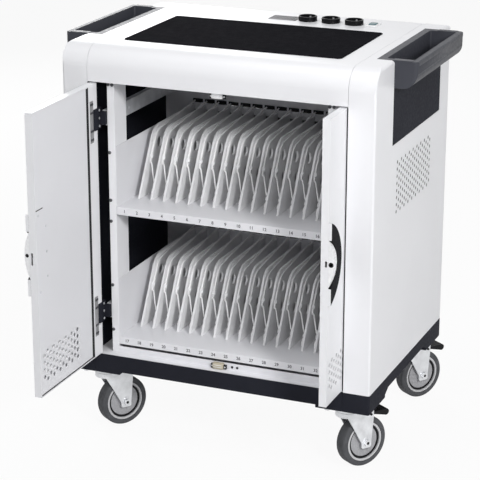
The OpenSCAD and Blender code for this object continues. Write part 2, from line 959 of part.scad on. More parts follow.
module lead_clips() {
    for (z = [upper_shelf_z, lower_shelf_z], i = [1:slots]) translate([divider_x(i), front, z]) {
        lead_clip(1, lead_leave_z + clip_above);
        if (i > 1) lead_clip(-1, lead_land_z - clip_below);
    }
}

// Plugs at the ends of the leads, standing by the next divider
module lead_plugs() {
    end = lead_slope(plug_foot + plug_len * sin(divider_slope));
    beside = max(lead_r, plug_t / 2) + seat_gap;
    color(white)
        for (z = [upper_shelf_z, lower_shelf_z], i = [1:slots])
            translate([divider_x(i) + slot_reach(i) - beside, front + end.x, z + end.y])
                rotate([divider_slope - 90, 0, 0])
                    translate([-plug_t / 2, -plug_w / 2, -plug_len]) cube([plug_t, plug_w, plug_len]);
}

// Magnetic catches at the middle of the sill and of the fascia flange
module door_catches() {
    y0 = front - door_proud + door_t + 0.5;
    y1 = frame_y - seat_gap;
    color([0.86, 0.84, 0.76]) {
        block([-catch_w / 2, y0, floor_top + seat_gap], [catch_w / 2, y1, floor_top + seat_gap + catch_h]);
        block([-catch_w / 2, y0, fascia_bottom - seat_gap - catch_h],
              [catch_w / 2, y1, fascia_bottom - seat_gap]);
    }
}

// Channel rails that carry a door's carriages, screwed to the post and the partition
module rails() {
    x0 = post_out_x + seat_gap;
    lip = 2;
    color(zinc)
        for (z = [upper_runner_z, lower_runner_z])
            along_y(frame_y + 2, back_y - seat_gap)
                difference() {
                    translate([x0, z - rail_h / 2]) square([rail_w, rail_h]);
                    translate([x0 + lip, z - rail_h / 2 + lip]) square([rail_w, rail_h - 2 * lip]);
                }
}

module right_rails() {
    rails();
}

module left_rails() {
    on_left() rails();
}

// Power strip in the adapter space behind a shelf, below its cable slots
module power_strip(shelf_z) {
    y0 = back_y + sheet + seat_gap;
    z = shelf_z + strip_rise;
    first = -(strip_outlets - 1) / 2 * outlet_pitch;
    color(black) difference() {
        block([-strip_len / 2, y0, z], [strip_len / 2, y0 + strip_d, z + strip_h]);
        for (i = [0:strip_outlets - 1])
            bar_y(y0 + strip_d - outlet_depth, y0 + strip_d + 1, first + i * outlet_pitch,
                  z + strip_h / 2, outlet_d / 2);
    }
}

module upper_power_strip() {
    power_strip(upper_shelf_z);
}

module lower_power_strip() {
    power_strip(lower_shelf_z);
}

// Box that switches the strips on in turn, above the lower strip
module charge_controller() {
    y0 = back_y + sheet + seat_gap;
    z = lower_shelf_z + strip_rise + strip_h + controller_rise;
    color(charcoal)
        along_y(y0, y0 + controller_d)
            round_rect([-controller_w / 2, z], [controller_w / 2, z + controller_h], 6);
}

// Door leaf drawn round its pivot: a tray whose hinge edge is round, with room for the hinge arms, cut by
// what is drawn with it
module leaf_pan() {
    skin_y = -leaf_r + door_sheet;
    color(white) difference() {
        union() {
            block([0, -leaf_r, leaf_bottom], [leaf_w, leaf_r, leaf_top]);
            upright(0, 0, leaf_bottom, leaf_top, leaf_r);
        }
        block([stile_w, skin_y, leaf_bottom + door_sheet],
              [leaf_w - door_sheet, leaf_r + 1, leaf_top - door_sheet]);
        for (z = [upper_runner_z, lower_runner_z]) {
            block([-leaf_r - 1, -leaf_r - 1, z - arm_h / 2 - notch_clear],
                  [notch_d, leaf_r + 1, z + arm_h / 2 + notch_clear]);
            upright(0, 0, z - pin_half - 1, z + pin_half + 1, pin_d / 2 + running_fit);
        }
        leaf_vents();
        children();
    }
}

// Vent holes through the foot of a leaf, next to its free edge
module leaf_vents() {
    width = (door_vent_columns - 1) * vent_step;
    along_y(-leaf_r - 1, leaf_r + 1)
        translate([leaf_w - vent_margin - width, leaf_bottom + door_vent_bottom])
            vent_field(door_vent_columns, door_vent_rows);
}

// Slot in a leaf's free edge, between two heights, for the cam of the lock
module cam_slot(low, high) {
    y0 = -leaf_r + door_sheet + cam_clear;
    block([leaf_w - 2 * door_sheet, y0, low], [leaf_w + 1, y0 + cam_t + 2 * cam_clear, high]);
}

// Bore of the key cylinder and the slot in which its cam swings
module lock_bore() {
    bar_y(-leaf_r - 2 * boss_t, 0, leaf_w - lock_inset, latch_z, lock_d / 2 + running_fit);
    cam_slot(latch_z - cam_reach - 2 * cam_clear, latch_z + cam_w / 2 + 2 * cam_clear);
}

// Slot in the other leaf that takes the turned cam
module keeper_slot() {
    cam_slot(latch_z - cam_w / 2 - 2 * cam_clear, latch_z + cam_w / 2 + 2 * cam_clear);
}

// Inner cover of a leaf, with flanges that stand on the leaf's skin
module leaf_liner() {
    x0 = stile_w + stile_gap;
    x1 = leaf_w - door_sheet - cover_edge;
    z0 = leaf_bottom + door_sheet + liner_gap;
    z1 = leaf_top - door_sheet - cover_edge;
    face = leaf_r - cover_edge;
    foot = -leaf_r + door_sheet + seat_gap;
    color(pale) difference() {
        union() {
            block([x0, face - sheet, z0], [x1, face, z1]);
            block([x0, foot, z0], [x1, face - sliver, z0 + sheet]);
            block([x0, foot, z1 - sheet], [x1, face - sliver, z1]);
            block([x0, foot, z0], [x0 + sheet, face - sliver, z1]);
        }
        leaf_vents();
    }
}

// Circle through the ends and the crown of a segment that stands on a leaf's free edge
function segment_r(height, width) = (pow(height / 2, 2) + pow(width, 2)) / (2 * width);

module edge_segment(height, width) {
    r = segment_r(height, width);
    intersection() {
        translate([leaf_w - width + r, latch_z]) circle(r);
        translate([0, latch_z - height]) square([leaf_w, 2 * height]);
    }
}

// Crescent grip on the outer face, hollowed for the fingers, round the latch boss
module leaf_crescent() {
    scoop_r = 90;
    color(black) difference() {
        along_y(-leaf_r - crescent_t, -leaf_r - seat_gap)
            difference() {
                edge_segment(crescent_h, crescent_w);
                edge_segment(boss_h + 2 * seat_gap, boss_w + seat_gap);
            }
        translate([leaf_w + 20, -leaf_r - crescent_t - scoop_r + 4, latch_z]) sphere(scoop_r, $fn = 256);
    }
}

// Domed latch boss, half on each door
module leaf_boss() {
    dome_r = segment_r(boss_h, boss_t);
    color(white) intersection() {
        along_y(-leaf_r - boss_t - 1, -leaf_r - seat_gap) edge_segment(boss_h, boss_w);
        translate([leaf_w, -leaf_r - boss_t + dome_r, latch_z]) sphere(dome_r, $fn = 256);
    }
}

// Sets a leaf and what is on it in the left or right opening, swung open and pushed in
module place_leaf(side, pushed) {
    translate([side * pivot_x, pivot_y + pushed, 0])
        mirror([side == 1 ? 1 : 0, 0, 0]) rotate([0, 0, -90]) children();
}

module left_door_pan() {
    place_leaf(-1, 0) leaf_pan() lock_bore();
}

module right_door_pan() {
    place_leaf(1, door_travel) leaf_pan() keeper_slot();
}

module left_door_liner() {
    place_leaf(-1, 0) leaf_liner();
}

module right_door_liner() {
    place_leaf(1, door_travel) leaf_liner();
}

module left_crescent() {
    place_leaf(-1, 0) leaf_crescent();
}

module right_crescent() {
    place_leaf(1, door_travel) leaf_crescent();
}

module left_latch_boss() {
    place_leaf(-1, 0) difference() {
        leaf_boss();
        lock_bore();
    }
}

module right_latch_boss() {
    place_leaf(1, door_travel) difference() {
        leaf_boss();
        bar_x(leaf_w - keeper_depth, leaf_w + 1, -leaf_r - boss_t / 2, latch_z, keeper_d / 2);
    }
}

// Key cylinder with the cam that reaches past the free edge when it is turned
module lock_cylinder() {
    x = leaf_w - lock_inset;
    tail_y = -leaf_r + door_sheet + 2 * cam_clear;
    place_leaf(-1, 0) {
        color(black) bar_y(-leaf_r - boss_t - lock_proud, tail_y, x, latch_z, lock_d / 2);
        color(zinc)
            block([x - cam_w / 2, tail_y - sliver, latch_z - cam_reach],
                  [x + cam_w / 2, tail_y + cam_t, latch_z]);
    }
}

module hinge_pins(side, pushed) {
    color(zinc) place_leaf(side, pushed)
        for (z = [upper_runner_z, lower_runner_z])
            upright(0, 0, z - pin_half, z + pin_half, pin_d / 2);
}

module left_hinge_pins() {
    hinge_pins(-1, 0);
}

module right_hinge_pins() {
    hinge_pins(1, door_travel);
}

// Carriages on the rails, each with the arm that holds a hinge pin
module carriages(pushed) {
    rail_in = 2;
    slide_gap = 0.3;
    x0 = post_out_x + seat_gap + rail_in + slide_gap;
    x1 = post_out_x + seat_gap + rail_w + 2;
    y0 = pivot_y + leaf_r + 7;
    runner_h = rail_h - 2 * rail_in - 2 * slide_gap;
    color(charcoal)
        for (z = [upper_runner_z, lower_runner_z])
            translate([0, pushed, 0]) {
                difference() {
                    union() {
                        upright(pivot_x, pivot_y, z - arm_h / 2, z + arm_h / 2, arm_r);
                        block([pivot_x - arm_r, pivot_y, z - arm_h / 2],
                              [pivot_x + arm_r, pivot_y + arm_reach, z + arm_h / 2]);
                        block([x0, y0, z - runner_h / 2], [pivot_x, pivot_y + arm_reach, z + runner_h / 2]);
                        block([x0, y0, z - runner_h / 2], [x1, y0 + runner_len, z + runner_h / 2]);
                    }
                    upright(pivot_x, pivot_y, z - arm_h, z + arm_h, pin_d / 2 + running_fit);
                }
            }
}

module right_carriages() {
    carriages(door_travel);
}

module left_carriages() {
    on_left() carriages(0);
}

// Sets a caster under its corner
module place_caster(x, y) {
    translate([x * (side_x - caster_inset_x), y * (rear - caster_inset_y), 0])
        rotate([0, 0, caster_turn]) children();
}

// Mounting plates with the swivel races
module caster_plates() {
    half_x = 50;
    half_y = 42;
    color(zinc)
        for (x = [-1, 1], y = [-1, 1])
            translate([x * (side_x - caster_inset_x), y * (rear - caster_inset_y), 0]) difference() {
                union() {
                    translate([0, 0, plate_top - plate_t])
                        linear_extrude(plate_t) round_rect([-half_x, -half_y], [half_x, half_y], 8);
                    upright(0, 0, plate_top - plate_t - race_h, plate_top - plate_t + 1, race_r);
                }
                upright(0, 0, plate_top - plate_t - race_h - 1, plate_top + 1, kingpin_r + running_fit);
            }
}

// Side view of a fork leg, from the swivel and the floor
module leg_view() {
    polygon([
        [-leg_front, crown_top], [pedal_x + leg_back, crown_top], [pedal_x + leg_back, pedal_z - leg_back],
        [trail + boss_r, wheel_r], [trail - boss_r, wheel_r]
    ]);
    round_rect([trail - boss_r, wheel_r - boss_r], [trail + boss_r, wheel_r + boss_r], leg_end_r);
}

// Swivel fork with its kingpin and its axle bolt
module fork(braked) {
    head_t = 6;
    color(zinc) difference() {
        union() {
            upright(0, 0, crown_top - crown_h, crown_top, race_r);
            upright(0, 0, crown_top - 1, plate_top - 2, kingpin_r);
            for (side = [-1, 1])
                along_y(side == 1 ? leg_in : -leg_out, side == 1 ? leg_out : -leg_in) leg_view();
            block([2 - leg_front, -leg_out + sliver, crown_top - crown_h / 2],
                  [trail, leg_out - sliver, crown_top]);
            bar_y(-leg_out - head_t, leg_out + head_t, trail, wheel_r, axle_d / 2);
            for (side = [-1, 1])
                translate([trail, side == 1 ? leg_out : -leg_out - head_t, wheel_r])
                    rotate([-90, 0, 0]) cylinder(d = axle_head_d, h = head_t, $fn = 6);
        }
        if (braked) bar_y(-leg_out - 1, leg_out + 1, pedal_x, pedal_z, pedal_pin_r + running_fit);
    }
}

module fork_fl() {
    place_caster(-1, -1) fork(false);
}

module fork_fr() {
    place_caster(1, -1) fork(true);
}

module fork_rl() {
    place_caster(-1, 1) fork(false);
}

module fork_rr() {
    place_caster(1, 1) fork(true);
}

// Turns a wheel view, drawn in radius and width, round the axle
module wheel_turn() {
    translate([trail, 0, wheel_r]) rotate([90, 0, 0]) rotate_extrude() children();
}

module tyre() {
    inner = wheel_r - tyre_t;
    tread_r = 6;
    half = tyre_w / 2;
    color([0.45, 0.46, 0.48]) wheel_turn() {
        translate([inner, -half]) square([tyre_t - tread_r, tyre_w]);
        translate([inner, -half + tread_r]) square([tyre_t, tyre_w - 2 * tread_r]);
        for (side = [-1, 1]) translate([wheel_r - tread_r, side * (half - tread_r)]) circle(tread_r);
    }
}

module wheel_core() {
    rim = wheel_r - tyre_t - running_fit;
    bore = axle_d / 2 + running_fit;
    hub_half = leg_in - hub_gap;
    disc = rim - rim_t - rim_groove;
    color([0.78, 0.79, 0.80]) wheel_turn() {
        translate([bore, -hub_half]) square([boss_r - bore, 2 * hub_half]);
        translate([bore, -web_t / 2]) square([disc - bore, web_t]);
        translate([disc - sliver, groove_depth - web_t / 2])
            square([rim - disc, web_t - 2 * groove_depth]);
        translate([rim - rim_t, rim_inset - tyre_w / 2]) square([rim_t, tyre_w - 2 * rim_inset]);
    }
}

module tyre_fl() {
    place_caster(-1, -1) tyre();
}

module tyre_fr() {
    place_caster(1, -1) tyre();
}

module tyre_rl() {
    place_caster(-1, 1) tyre();
}

module tyre_rr() {
    place_caster(1, 1) tyre();
}

module wheel_fl() {
    place_caster(-1, -1) wheel_core();
}

module wheel_fr() {
    place_caster(1, -1) wheel_core();
}

module wheel_rl() {
    place_caster(-1, 1) wheel_core();
}

module wheel_rr() {
    place_caster(1, 1) wheel_core();
}

// Brake pedal that tips about its pin behind the crown, with a rounded toe
module pedal() {
    heel = 5;
    bend_x = pedal_x + 12;
    toe_x = pedal_x + pedal_len - pedal_toe_r;
    toe_z = pedal_z - pedal_fall + pedal_toe_r / 2;
    half = pedal_t / 2;
    room = 0.7;
    color(black) {
        bar_y(-leg_out - 2, leg_out + 2, pedal_x, pedal_z, pedal_pin_r);
        difference() {
            along_y(-pedal_w / 2, pedal_w / 2) {
                polygon([
                    [pedal_x - heel, pedal_z - half], [bend_x, pedal_z - half],
                    [toe_x, toe_z - pedal_toe_r], [toe_x, toe_z + pedal_toe_r],
                    [bend_x, pedal_z + half], [pedal_x - heel, pedal_z + half]
                ]);
                translate([toe_x, toe_z]) circle(pedal_toe_r);
            }
            for (side = [-1, 1])
                block([pedal_x - heel - 1, side == 1 ? leg_in - room : -pedal_w, pedal_z - pedal_len],
                      [pedal_x + leg_back + 2, side == 1 ? pedal_w : room - leg_in, pedal_z + pedal_len]);
        }
    }
}

module pedal_fr() {
    place_caster(1, -1) pedal();
}

module pedal_rr() {
    place_caster(1, 1) pedal();
}

base_frame();
floor_pan();
left_side_shell();
right_side_shell();
left_pocket_wall();
right_pocket_wall();
left_post();
right_post();
partition();
rear_panel();
top_cover();
top_mat();
left_grip();
right_grip();
left_side_cover();
right_side_cover();
top_sockets();
upper_shelf();
lower_shelf();
upper_dividers();
lower_dividers();
upper_leads();
lower_leads();
lead_clips();
lead_plugs();
door_catches();
left_rails();
right_rails();
upper_power_strip();
lower_power_strip();
charge_controller();
mains_inlet();
caster_plates();
left_door_pan();
left_door_liner();
left_crescent();
left_latch_boss();
lock_cylinder();
left_hinge_pins();
left_carriages();
right_door_pan();
right_door_liner();
right_crescent();
right_latch_boss();
right_hinge_pins();
right_carriages();
fork_fl();
fork_fr();
fork_rl();
fork_rr();
tyre_fl();
tyre_fr();
tyre_rl();
tyre_rr();
wheel_fl();
wheel_fr();
wheel_rl();
wheel_rr();
pedal_fr();
pedal_rr();
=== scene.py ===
"""Laptop charging cart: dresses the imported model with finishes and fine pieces.

Metres, Z up, front towards -Y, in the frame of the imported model. Sizes in capitals are in
millimetres, angles in radians.
"""
import json
import math

import bmesh
import bpy
from mathutils import Euler, Matrix, Vector

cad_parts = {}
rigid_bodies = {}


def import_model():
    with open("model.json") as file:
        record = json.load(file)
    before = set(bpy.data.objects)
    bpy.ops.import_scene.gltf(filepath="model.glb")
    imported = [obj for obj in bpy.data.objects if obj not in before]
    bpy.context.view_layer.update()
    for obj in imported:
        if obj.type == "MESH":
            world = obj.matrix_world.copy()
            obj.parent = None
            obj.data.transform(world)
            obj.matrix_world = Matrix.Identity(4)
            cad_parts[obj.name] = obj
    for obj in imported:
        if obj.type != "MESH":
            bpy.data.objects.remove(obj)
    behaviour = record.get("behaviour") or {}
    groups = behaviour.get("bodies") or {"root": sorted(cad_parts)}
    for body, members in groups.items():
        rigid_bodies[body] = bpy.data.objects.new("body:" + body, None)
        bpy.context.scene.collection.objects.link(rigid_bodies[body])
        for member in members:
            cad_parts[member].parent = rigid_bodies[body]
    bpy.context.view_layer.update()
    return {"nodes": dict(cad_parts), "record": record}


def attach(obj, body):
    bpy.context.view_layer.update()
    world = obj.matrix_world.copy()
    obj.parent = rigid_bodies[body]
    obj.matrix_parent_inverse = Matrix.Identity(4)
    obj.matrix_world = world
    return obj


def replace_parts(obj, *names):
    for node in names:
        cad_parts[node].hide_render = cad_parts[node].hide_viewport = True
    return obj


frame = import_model()
NODES = frame["nodes"]
MM = 0.001
TO_FRONT = (0, -1, 0)
TO_REAR = (0, 1, 0)
UP = (0, 0, 1)
DOWN = (0, 0, -1)

# Cabinet
FRONT = -280.0
REAR = 280.0
COLUMN_X = 321.0
POST_OUT_X = 283.0
FRAME_Y = -255.0
BACK_Y = 150.0
BODY_TOP = 975.0
SHELF_Z = {"upper": 585.0, "lower": 256.0}
SIDE_NAME = {-1: "left", 1: "right"}

# Doors, drawn round their pivots: U along the leaf, V through it towards the inner face
PIVOT_X = 308.5
PIVOT_Y = {-1: -277.0, 1: -77.0}
LEAF_W = 307.0
LEAF_HALF = 9.0
RUNNER_Z = (800.0, 320.0)
DOOR_BODY = {-1: "left_door", 1: "right_door"}
ARM_BODY = {-1: "left_carriage", 1: "right_door"}
LATCH_U = 293.0
LATCH_Z = 558.0
BOSS_V = -15.5
KEEPER_INSET = 16
KEY_FACE_V = -23.5

# Door furniture: boxes run from one (U, V, Z) corner to the other, profiles are (radius, height)
# Painted shadow: a thin black line across the liner above the latch stands for a shadow line there
LINER_SHADOW_LINE = ((273, LEAF_HALF - 0.3, 662), (304, LEAF_HALF + 0.15, 664))
# Painted shade: black strips in the gap beside the liner's hinge edge, over its edge and along its foot
# stand for the shade in those gaps
GAP_SHADE_STEM = ((40.2, -6.0, 219.7), (43.3, 8.9, 885.3))
GAP_SHADE_LIP = ((43.3, 8.55, 224.0), (51.0, 8.9, 884.0))
GAP_SHADE_FOOT = ((43.3, -6.0, 219.7), (304.8, 7.9, 223.3))
CRESCENT_RIM_U = (LEAF_W + 0.02, LEAF_W + 0.3)
CRESCENT_RIM_V = (-16.1, -9.15)
CRESCENT_RIM_DZ = ((56.5, 96.2), (-96.2, -56.5))
# Painted shade: a black strip recessed in the gap between each parked leaf and its column stands for the
# shade in that gap
SHADE_STRIP_X = (318.0, COLUMN_X - 0.2)
SHADE_STRIP_Y = (-278.8, -262.0)
SHADE_STRIP_Z = (218.0, 887.0)
KEEPER_BUSH = [(0.0, 1.0), (3.4, 1.0), (3.6, 16.6), (5.6, 16.6), (5.8, 16.0), (4.4, 16.0), (4.4, 0.0),
               (0.0, 0.0)]
BOLT_TIP = [(0.0, 0.0), (4.4, 0.0), (4.4, 0.15), (3.6, 0.3), (0.0, 0.3)]
KEY_BEZEL = [(4.6, 0.0), (4.6, 0.5), (5.2, 0.9), (7.2, 0.9), (7.9, 0.3), (7.9, 0.0), (4.6, 0.0)]
BUSH_STEPS = 28
BEZEL_STEPS = 40
KEYWAY_X = (-0.2, 0.1)
KEYWAY_HALF_W = 0.8
KEYWAY_HALF_H = 3.6

# Hinge plates and screws
PLATE_U = (35, 19)
PLATE_V = LEAF_HALF + 1.2
PLATE_HALF_H = 50
PLATE_SCREW_U = (23, 31)
PLATE_SCREW_DZ = (-42, -22, 22, 42)
LINER_FACE_V = LEAF_HALF - 0.5
LINER_SCREWS = {260: (617, 557, 499), 294: (650, 470)}
ARM_HALF = 8.0
ARM_SCREW_Y = 15
ARM_SCREW_DZ = (-19, 0, 19)
POST_SCREW_X = 279
POST_SCREW_Z = (717, 600, 548, 387, 273)
POST_TOP_X = (269, 279)
POST_TOP_Z = 881
RAIL_FACE_X = POST_OUT_X + 0.2
RAIL_SCREW_Y = (-170, -140, 80)
PANEL_EDGE_X = (-308, 308)
PANEL_EDGE_Z = (228, 448, 668, 878)
PANEL_MIDDLE_X = (-103, 103)
PANEL_MIDDLE_Z = (222, 884)
SILL_SCREW_X = (33, 46)
SILL_SCREW_Z = 222

# Screw heads as (width, height), and shares of a head that its dome and cross recess take
SMALL_HEAD = (6.0, 1.6)
HINGE_HEAD = (6.5, 1.8)
POST_HEAD = (8.0, 4.0)
RAIL_HEAD = (8.0, 1.8)
PANEL_HEAD = (8.0, 2.4)
LUG_HEAD = (4.0, 1.0)
DOME_DROP = 0.55
RECESS_LENGTH = 1.15
RECESS_WIDTH = 0.26

# Dividers and leads: Y from the cabinet front, Z from the shelf floor
SLOTS = 16
FIRST_DIVIDER_X = -243.75
SLOT_PITCH = 32.5
DIVIDER_T = 5.0
LAST_SLOT_REACH = 19.55
LEAD_R = 1.75
LEAD_GAP = 0.2
LEAD_OFF = 4.45
LEAD_SLOPE = math.radians(60.5)
LEAD_EDGE = (190.61, 128.71)
LEAD_START = (436.0, 171.0)
LEAD_MIDWAY = (330.0, 159.5)
LEAD_BEND_AT = (223.68, 110.0)
LEAD_BEND_R = 38.0
LEAD_BEND_STEPS = 6
LEAD_LEAVE_Z = 76.0
LEAD_LAND_Z = 38.0
LEAD_TURN = 5.0
LEAD_TURN_SHARE = 0.18
PLUG_OFF = 2.7
PLUG_LEN = 20.0
PLUG_FOOT = 6.0
PLUG_TOP_Z = PLUG_FOOT + PLUG_LEN * math.sin(LEAD_SLOPE)
PLUG_BODY = ((-2.5, -4.5, -14.5), (2.5, 4.5, -3.6))
PLUG_TIP = ((-1.6, -3.4, -PLUG_LEN), (1.6, 3.4, -13.5))
NECK_RIBS = 3
NECK_RIB_HALF = 2.2
NECK_RIB_Z = (-4.2, -3.3)
NECK_RIB_PITCH = 1.4
# Painted shade: black patches on the partition over the cable slots stand for the dark inside the openings
SLOT_SHADE_OFF = 12.5
SLOT_SHADE_SIZE = (27, 9, 1.6)
NUMBER_HEIGHT = 10.5
NUMBER_DEPTH = 0.2
NUMBER_WEIGHT = 0.02
NUMBER_DROP = 9.5

# Magnetic catches: Z from the bottom of the catch
CATCH_BOTTOM = {"sill": 215.7, "top": 874.8}
CATCH_FRONT = -267.5
CATCH_REAR = -255.2
CASE_HALF_W = 13
CASE_SET_BACK = 0.3
CASE_Z = (1, 15)
POLE_HALF_W = 10.5
POLE_DEPTH = 2
POLE_Z = (5.0, 10.0)
POLE_T = 1.4
LUG_X = (12.5, 20)
LUG_DEPTH = 6
LUG_H = 11
LUG_SCREW_X = (-16.5, 16.5)
LUG_SCREW_Z = 5.5

# Top: heights of the louvre and the pilot lamp are from the top cover
SOCKETS_X = (49.0, 109.0, 169.0)
SOCKETS_Y = 186.0
CONTACT_OFF = 18.6
CONTACT_Z = 977.5
CONTACT_SIZE = (4, 12, 1)
LOUVRE_X = (-49, 22)
LOUVRE_Y = (170, 214)
LOUVRE_WALL = 4
LOUVRE_FRAME_Z = (-0.5, 1.6)
WELL_INSET = 3
WELL_Z = (-0.4, 0.1)
SLATS = 9
SLAT_FIRST = 9
SLAT_PITCH = 6.75
SLAT_Z = 0.9
SLAT_SIZE = (3.2, LOUVRE_Y[1] - LOUVRE_Y[0] - 7, 1.0)
PILOT_AT = (214, 198)
PILOT_PLATE_HALF = (15, 20)
PILOT_PLATE_Z = (-0.3, 1.8)
PILOT_LENS_HALF = (9, 13)
PILOT_LENS_Z = (1.4, 4.4)

# Side vents and the painted shade behind them: a black sheet with low cones rising into the holes
VENT_SHADE_X = (381.6, 382.3)
VENT_SHADE_Y = (-125, 160)
VENT_SHADE_Z = (603, 742)
VENT_COLUMNS = 18
VENT_ROWS = 8
VENT_PITCH = 17.0
VENT_STEP = VENT_PITCH * math.sin(math.radians(60))
VENT_FIRST_Y = -115
VENT_FIRST_Z = 611
DIMPLE_X = 382.4
DIMPLE_W = 9.6
DIMPLE_RISE = 1.7
DIMPLE_TAPER = 0.86

# Rear inlet
INLET_AT = (200, 278.5)
INLET_FLANGE = 3.2
INLET_SCREW_DX = (-18, 18)
INLET_PINS = ((-7, -2), (0, 2.5), (7, -2))
INLET_PIN_HALF_W = 1
INLET_PIN_HALF_H = 2
INLET_PIN_Y = (REAR - 16.1, REAR - 2)

# Casters, each drawn round its swivel with the wheel trailing along +X
CASTERS = {"fl": (-315, -225), "fr": (315, -225), "rl": (-315, 225), "rr": (315, 225)}
CASTER_TURN = math.radians(56)
CASTER_SIDE = {"fl": "front_left", "fr": "front_right", "rl": "rear_left", "rr": "rear_right"}
WHEEL_AT = (40.0, 0.0, 62.5)
AXLE_END = 28.5
PLATE_BOLT_Z = 161.6
PLATE_BOLT_DX = (-40, 40)
PLATE_BOLT_DY = (-32, 32)
PLATE_BOLT_ACROSS = 13
PLATE_BOLT_H = 6.5
BOLT_WASHER = (24, 0.80, 0.0, 0.25)
BOLT_HEAD = (6, 0.577, 0.25, 0.75)
PEDAL_TOP = ((64.0, 135.7), (98.0, 135.2))
PEDAL_RIB_STEPS = 6
PEDAL_RIB_SIZE = (2.2, 34, 1.8)

# Profiles of the rings on a wheel and its axle, as (radius, distance from the middle) points
# Painted shade: a black ring lines the groove of each wheel core, standing for the shade in the groove
GROOVE_SHADE_RING = [(37.6, 10.9), (38.2, 11.4), (40.0, 11.4), (43.4, 11.4), (43.4, 5.9), (40.0, 5.9),
               (40.0, 10.9)]
# Painted highlight: a band in a lighter copy of the wheel nylon stands for light on the rim
RIM_HIGHLIGHT_BAND = [(43.7, 14.9), (44.1, 15.3), (48.4, 15.3), (48.8, 14.9)]
TYRE_SEAM = [(48.9, 14.8), (48.9, 15.1), (50.0, 15.1), (50.0, 14.8)]
AXLE_WASHER = [(8.0, 22.4), (8.0, 24.0), (11.5, 24.0), (11.8, 22.4)]
AXLE_SOCKET = [(0.0, AXLE_END - 0.1), (3.6, AXLE_END - 0.1), (3.6, AXLE_END + 0.12),
               (0.0, AXLE_END + 0.12)]
RING_STEPS = 64

# Roundings of sheet metal and mouldings, and the angles at which edges count as sharp
ROUNDED = {
    "base_frame": 2.5, "left_grip": 2.5, "right_grip": 2.5, "left_side_cover": 0.6,
    "right_side_cover": 0.6, "top_mat": 1.0, "top_sockets": 1.0, "left_post": 1.2, "right_post": 1.2,
    "upper_shelf": 0.9, "lower_shelf": 0.9, "upper_dividers": 1.6, "lower_dividers": 1.6,
    "left_door_pan": 1.4, "right_door_pan": 1.4, "left_door_liner": 0.7, "right_door_liner": 0.7,
    "left_crescent": 1.0, "right_crescent": 1.0, "left_carriages": 0.9, "right_carriages": 0.9,
    "caster_plates": 0.8, "pedal_fr": 1.2, "pedal_rr": 1.2, "mains_inlet": 0.6,
}
FORK_EDGE = 0.8
WHEEL_EDGE = 0.6
SMOOTH_ANGLE = math.radians(32)
ROUNDED_ANGLE = math.radians(35)


# Camera, light and floor

def make_camera():
    data = bpy.data.cameras.new("camera")
    data.sensor_width = 36.0
    data.lens = 137.25
    data.clip_end = 50.0
    camera = bpy.data.objects.new("camera", data)
    bpy.context.collection.objects.link(camera)
    camera.location = (1.607, -3.966, 1.871)
    camera.rotation_euler = Euler((math.radians(90 - 18.27), 0, math.radians(22.72)))
    bpy.context.scene.camera = camera


def area_lamp(name, place, target, size, watts):
    data = bpy.data.lights.new(name, "AREA")
    data.shape = "RECTANGLE"
    data.size, data.size_y = size
    data.energy = watts
    lamp = bpy.data.objects.new(name, data)
    bpy.context.collection.objects.link(lamp)
    lamp.location = place
    lamp.rotation_euler = (Vector(target) - Vector(place)).to_track_quat("-Z", "Y").to_euler()


def show_white(tree, lit, white_kind, out, amount):
    """Mixes plain white over lit for what the camera, gloss and glass see."""
    nodes, links = tree.nodes, tree.links
    path = nodes.new("ShaderNodeLightPath")
    seen = path.outputs["Is Camera Ray"]
    for ray in ("Is Glossy Ray", "Is Transmission Ray"):
        either = nodes.new("ShaderNodeMath")
        either.operation = "MAXIMUM"
        links.new(seen, either.inputs[0])
        links.new(path.outputs[ray], either.inputs[1])
        seen = either.outputs[0]
    share = nodes.new("ShaderNodeMath")
    share.operation = "MULTIPLY"
    share.inputs[1].default_value = amount
    links.new(seen, share.inputs[0])
    white = nodes.new(white_kind)
    white.inputs["Color"].default_value = (1, 1, 1, 1)
    white.inputs["Strength"].default_value = 1.0
    mix = nodes.new("ShaderNodeMixShader")
    links.new(share.outputs[0], mix.inputs[0])
    links.new(lit, mix.inputs[1])
    links.new(white.outputs[0], mix.inputs[2])
    links.new(mix.outputs[0], out)


def make_world():
    world = bpy.data.worlds.new("studio")
    bpy.context.scene.world = world
    world.use_nodes = True
    tree = world.node_tree
    tree.nodes.clear()
    out = tree.nodes.new("ShaderNodeOutputWorld")
    fill = tree.nodes.new("ShaderNodeBackground")
    fill.inputs["Color"].default_value = (0.95, 0.97, 1.0, 1)
    fill.inputs["Strength"].default_value = 0.2
    show_white(tree, fill.outputs[0], "ShaderNodeBackground", out.inputs["Surface"], 1.0)


def make_floor():
    half = 12.0
    corners = [(-half, -half, 0), (half, -half, 0), (half, half, 0), (-half, half, 0)]
    mesh = bpy.data.meshes.new("studio_floor")
    mesh.from_pydata(corners, [], [(0, 1, 2, 3)])
    floor = bpy.data.objects.new("studio_floor", mesh)
    bpy.context.collection.objects.link(floor)
    mat = bpy.data.materials.new("studio_floor")
    mat.use_nodes = True
    tree = mat.node_tree
    shader = tree.nodes["Principled BSDF"]
    shader.inputs["Base Color"].default_value = (0.80, 0.80, 0.80, 1)
    shader.inputs["Roughness"].default_value = 0.9
    shader.inputs["Specular IOR Level"].default_value = 0.1
    out = tree.nodes["Material Output"].inputs["Surface"]
    show_white(tree, shader.outputs["BSDF"], "ShaderNodeEmission", out, 0.93)
    mesh.materials.append(mat)


make_camera()
make_world()
make_floor()
bpy.context.scene.view_settings.view_transform = "Standard"
area_lamp("key", (2.83, -2.38, 2.42), (0, 0, 0.55), (0.7, 0.7), 86)
area_lamp("front", (1.40, -3.85, 2.64), (0, 0, 0.55), (0.7, 0.7), 36)
area_lamp("top", (-0.3, -0.7, 3.4), (0, 0, 0.9), (1.4, 1.4), 26)
area_lamp("rear", (-2.2, 3.0, 2.0), (0, 0, 0.55), (1.8, 1.8), 60)


# Finishes

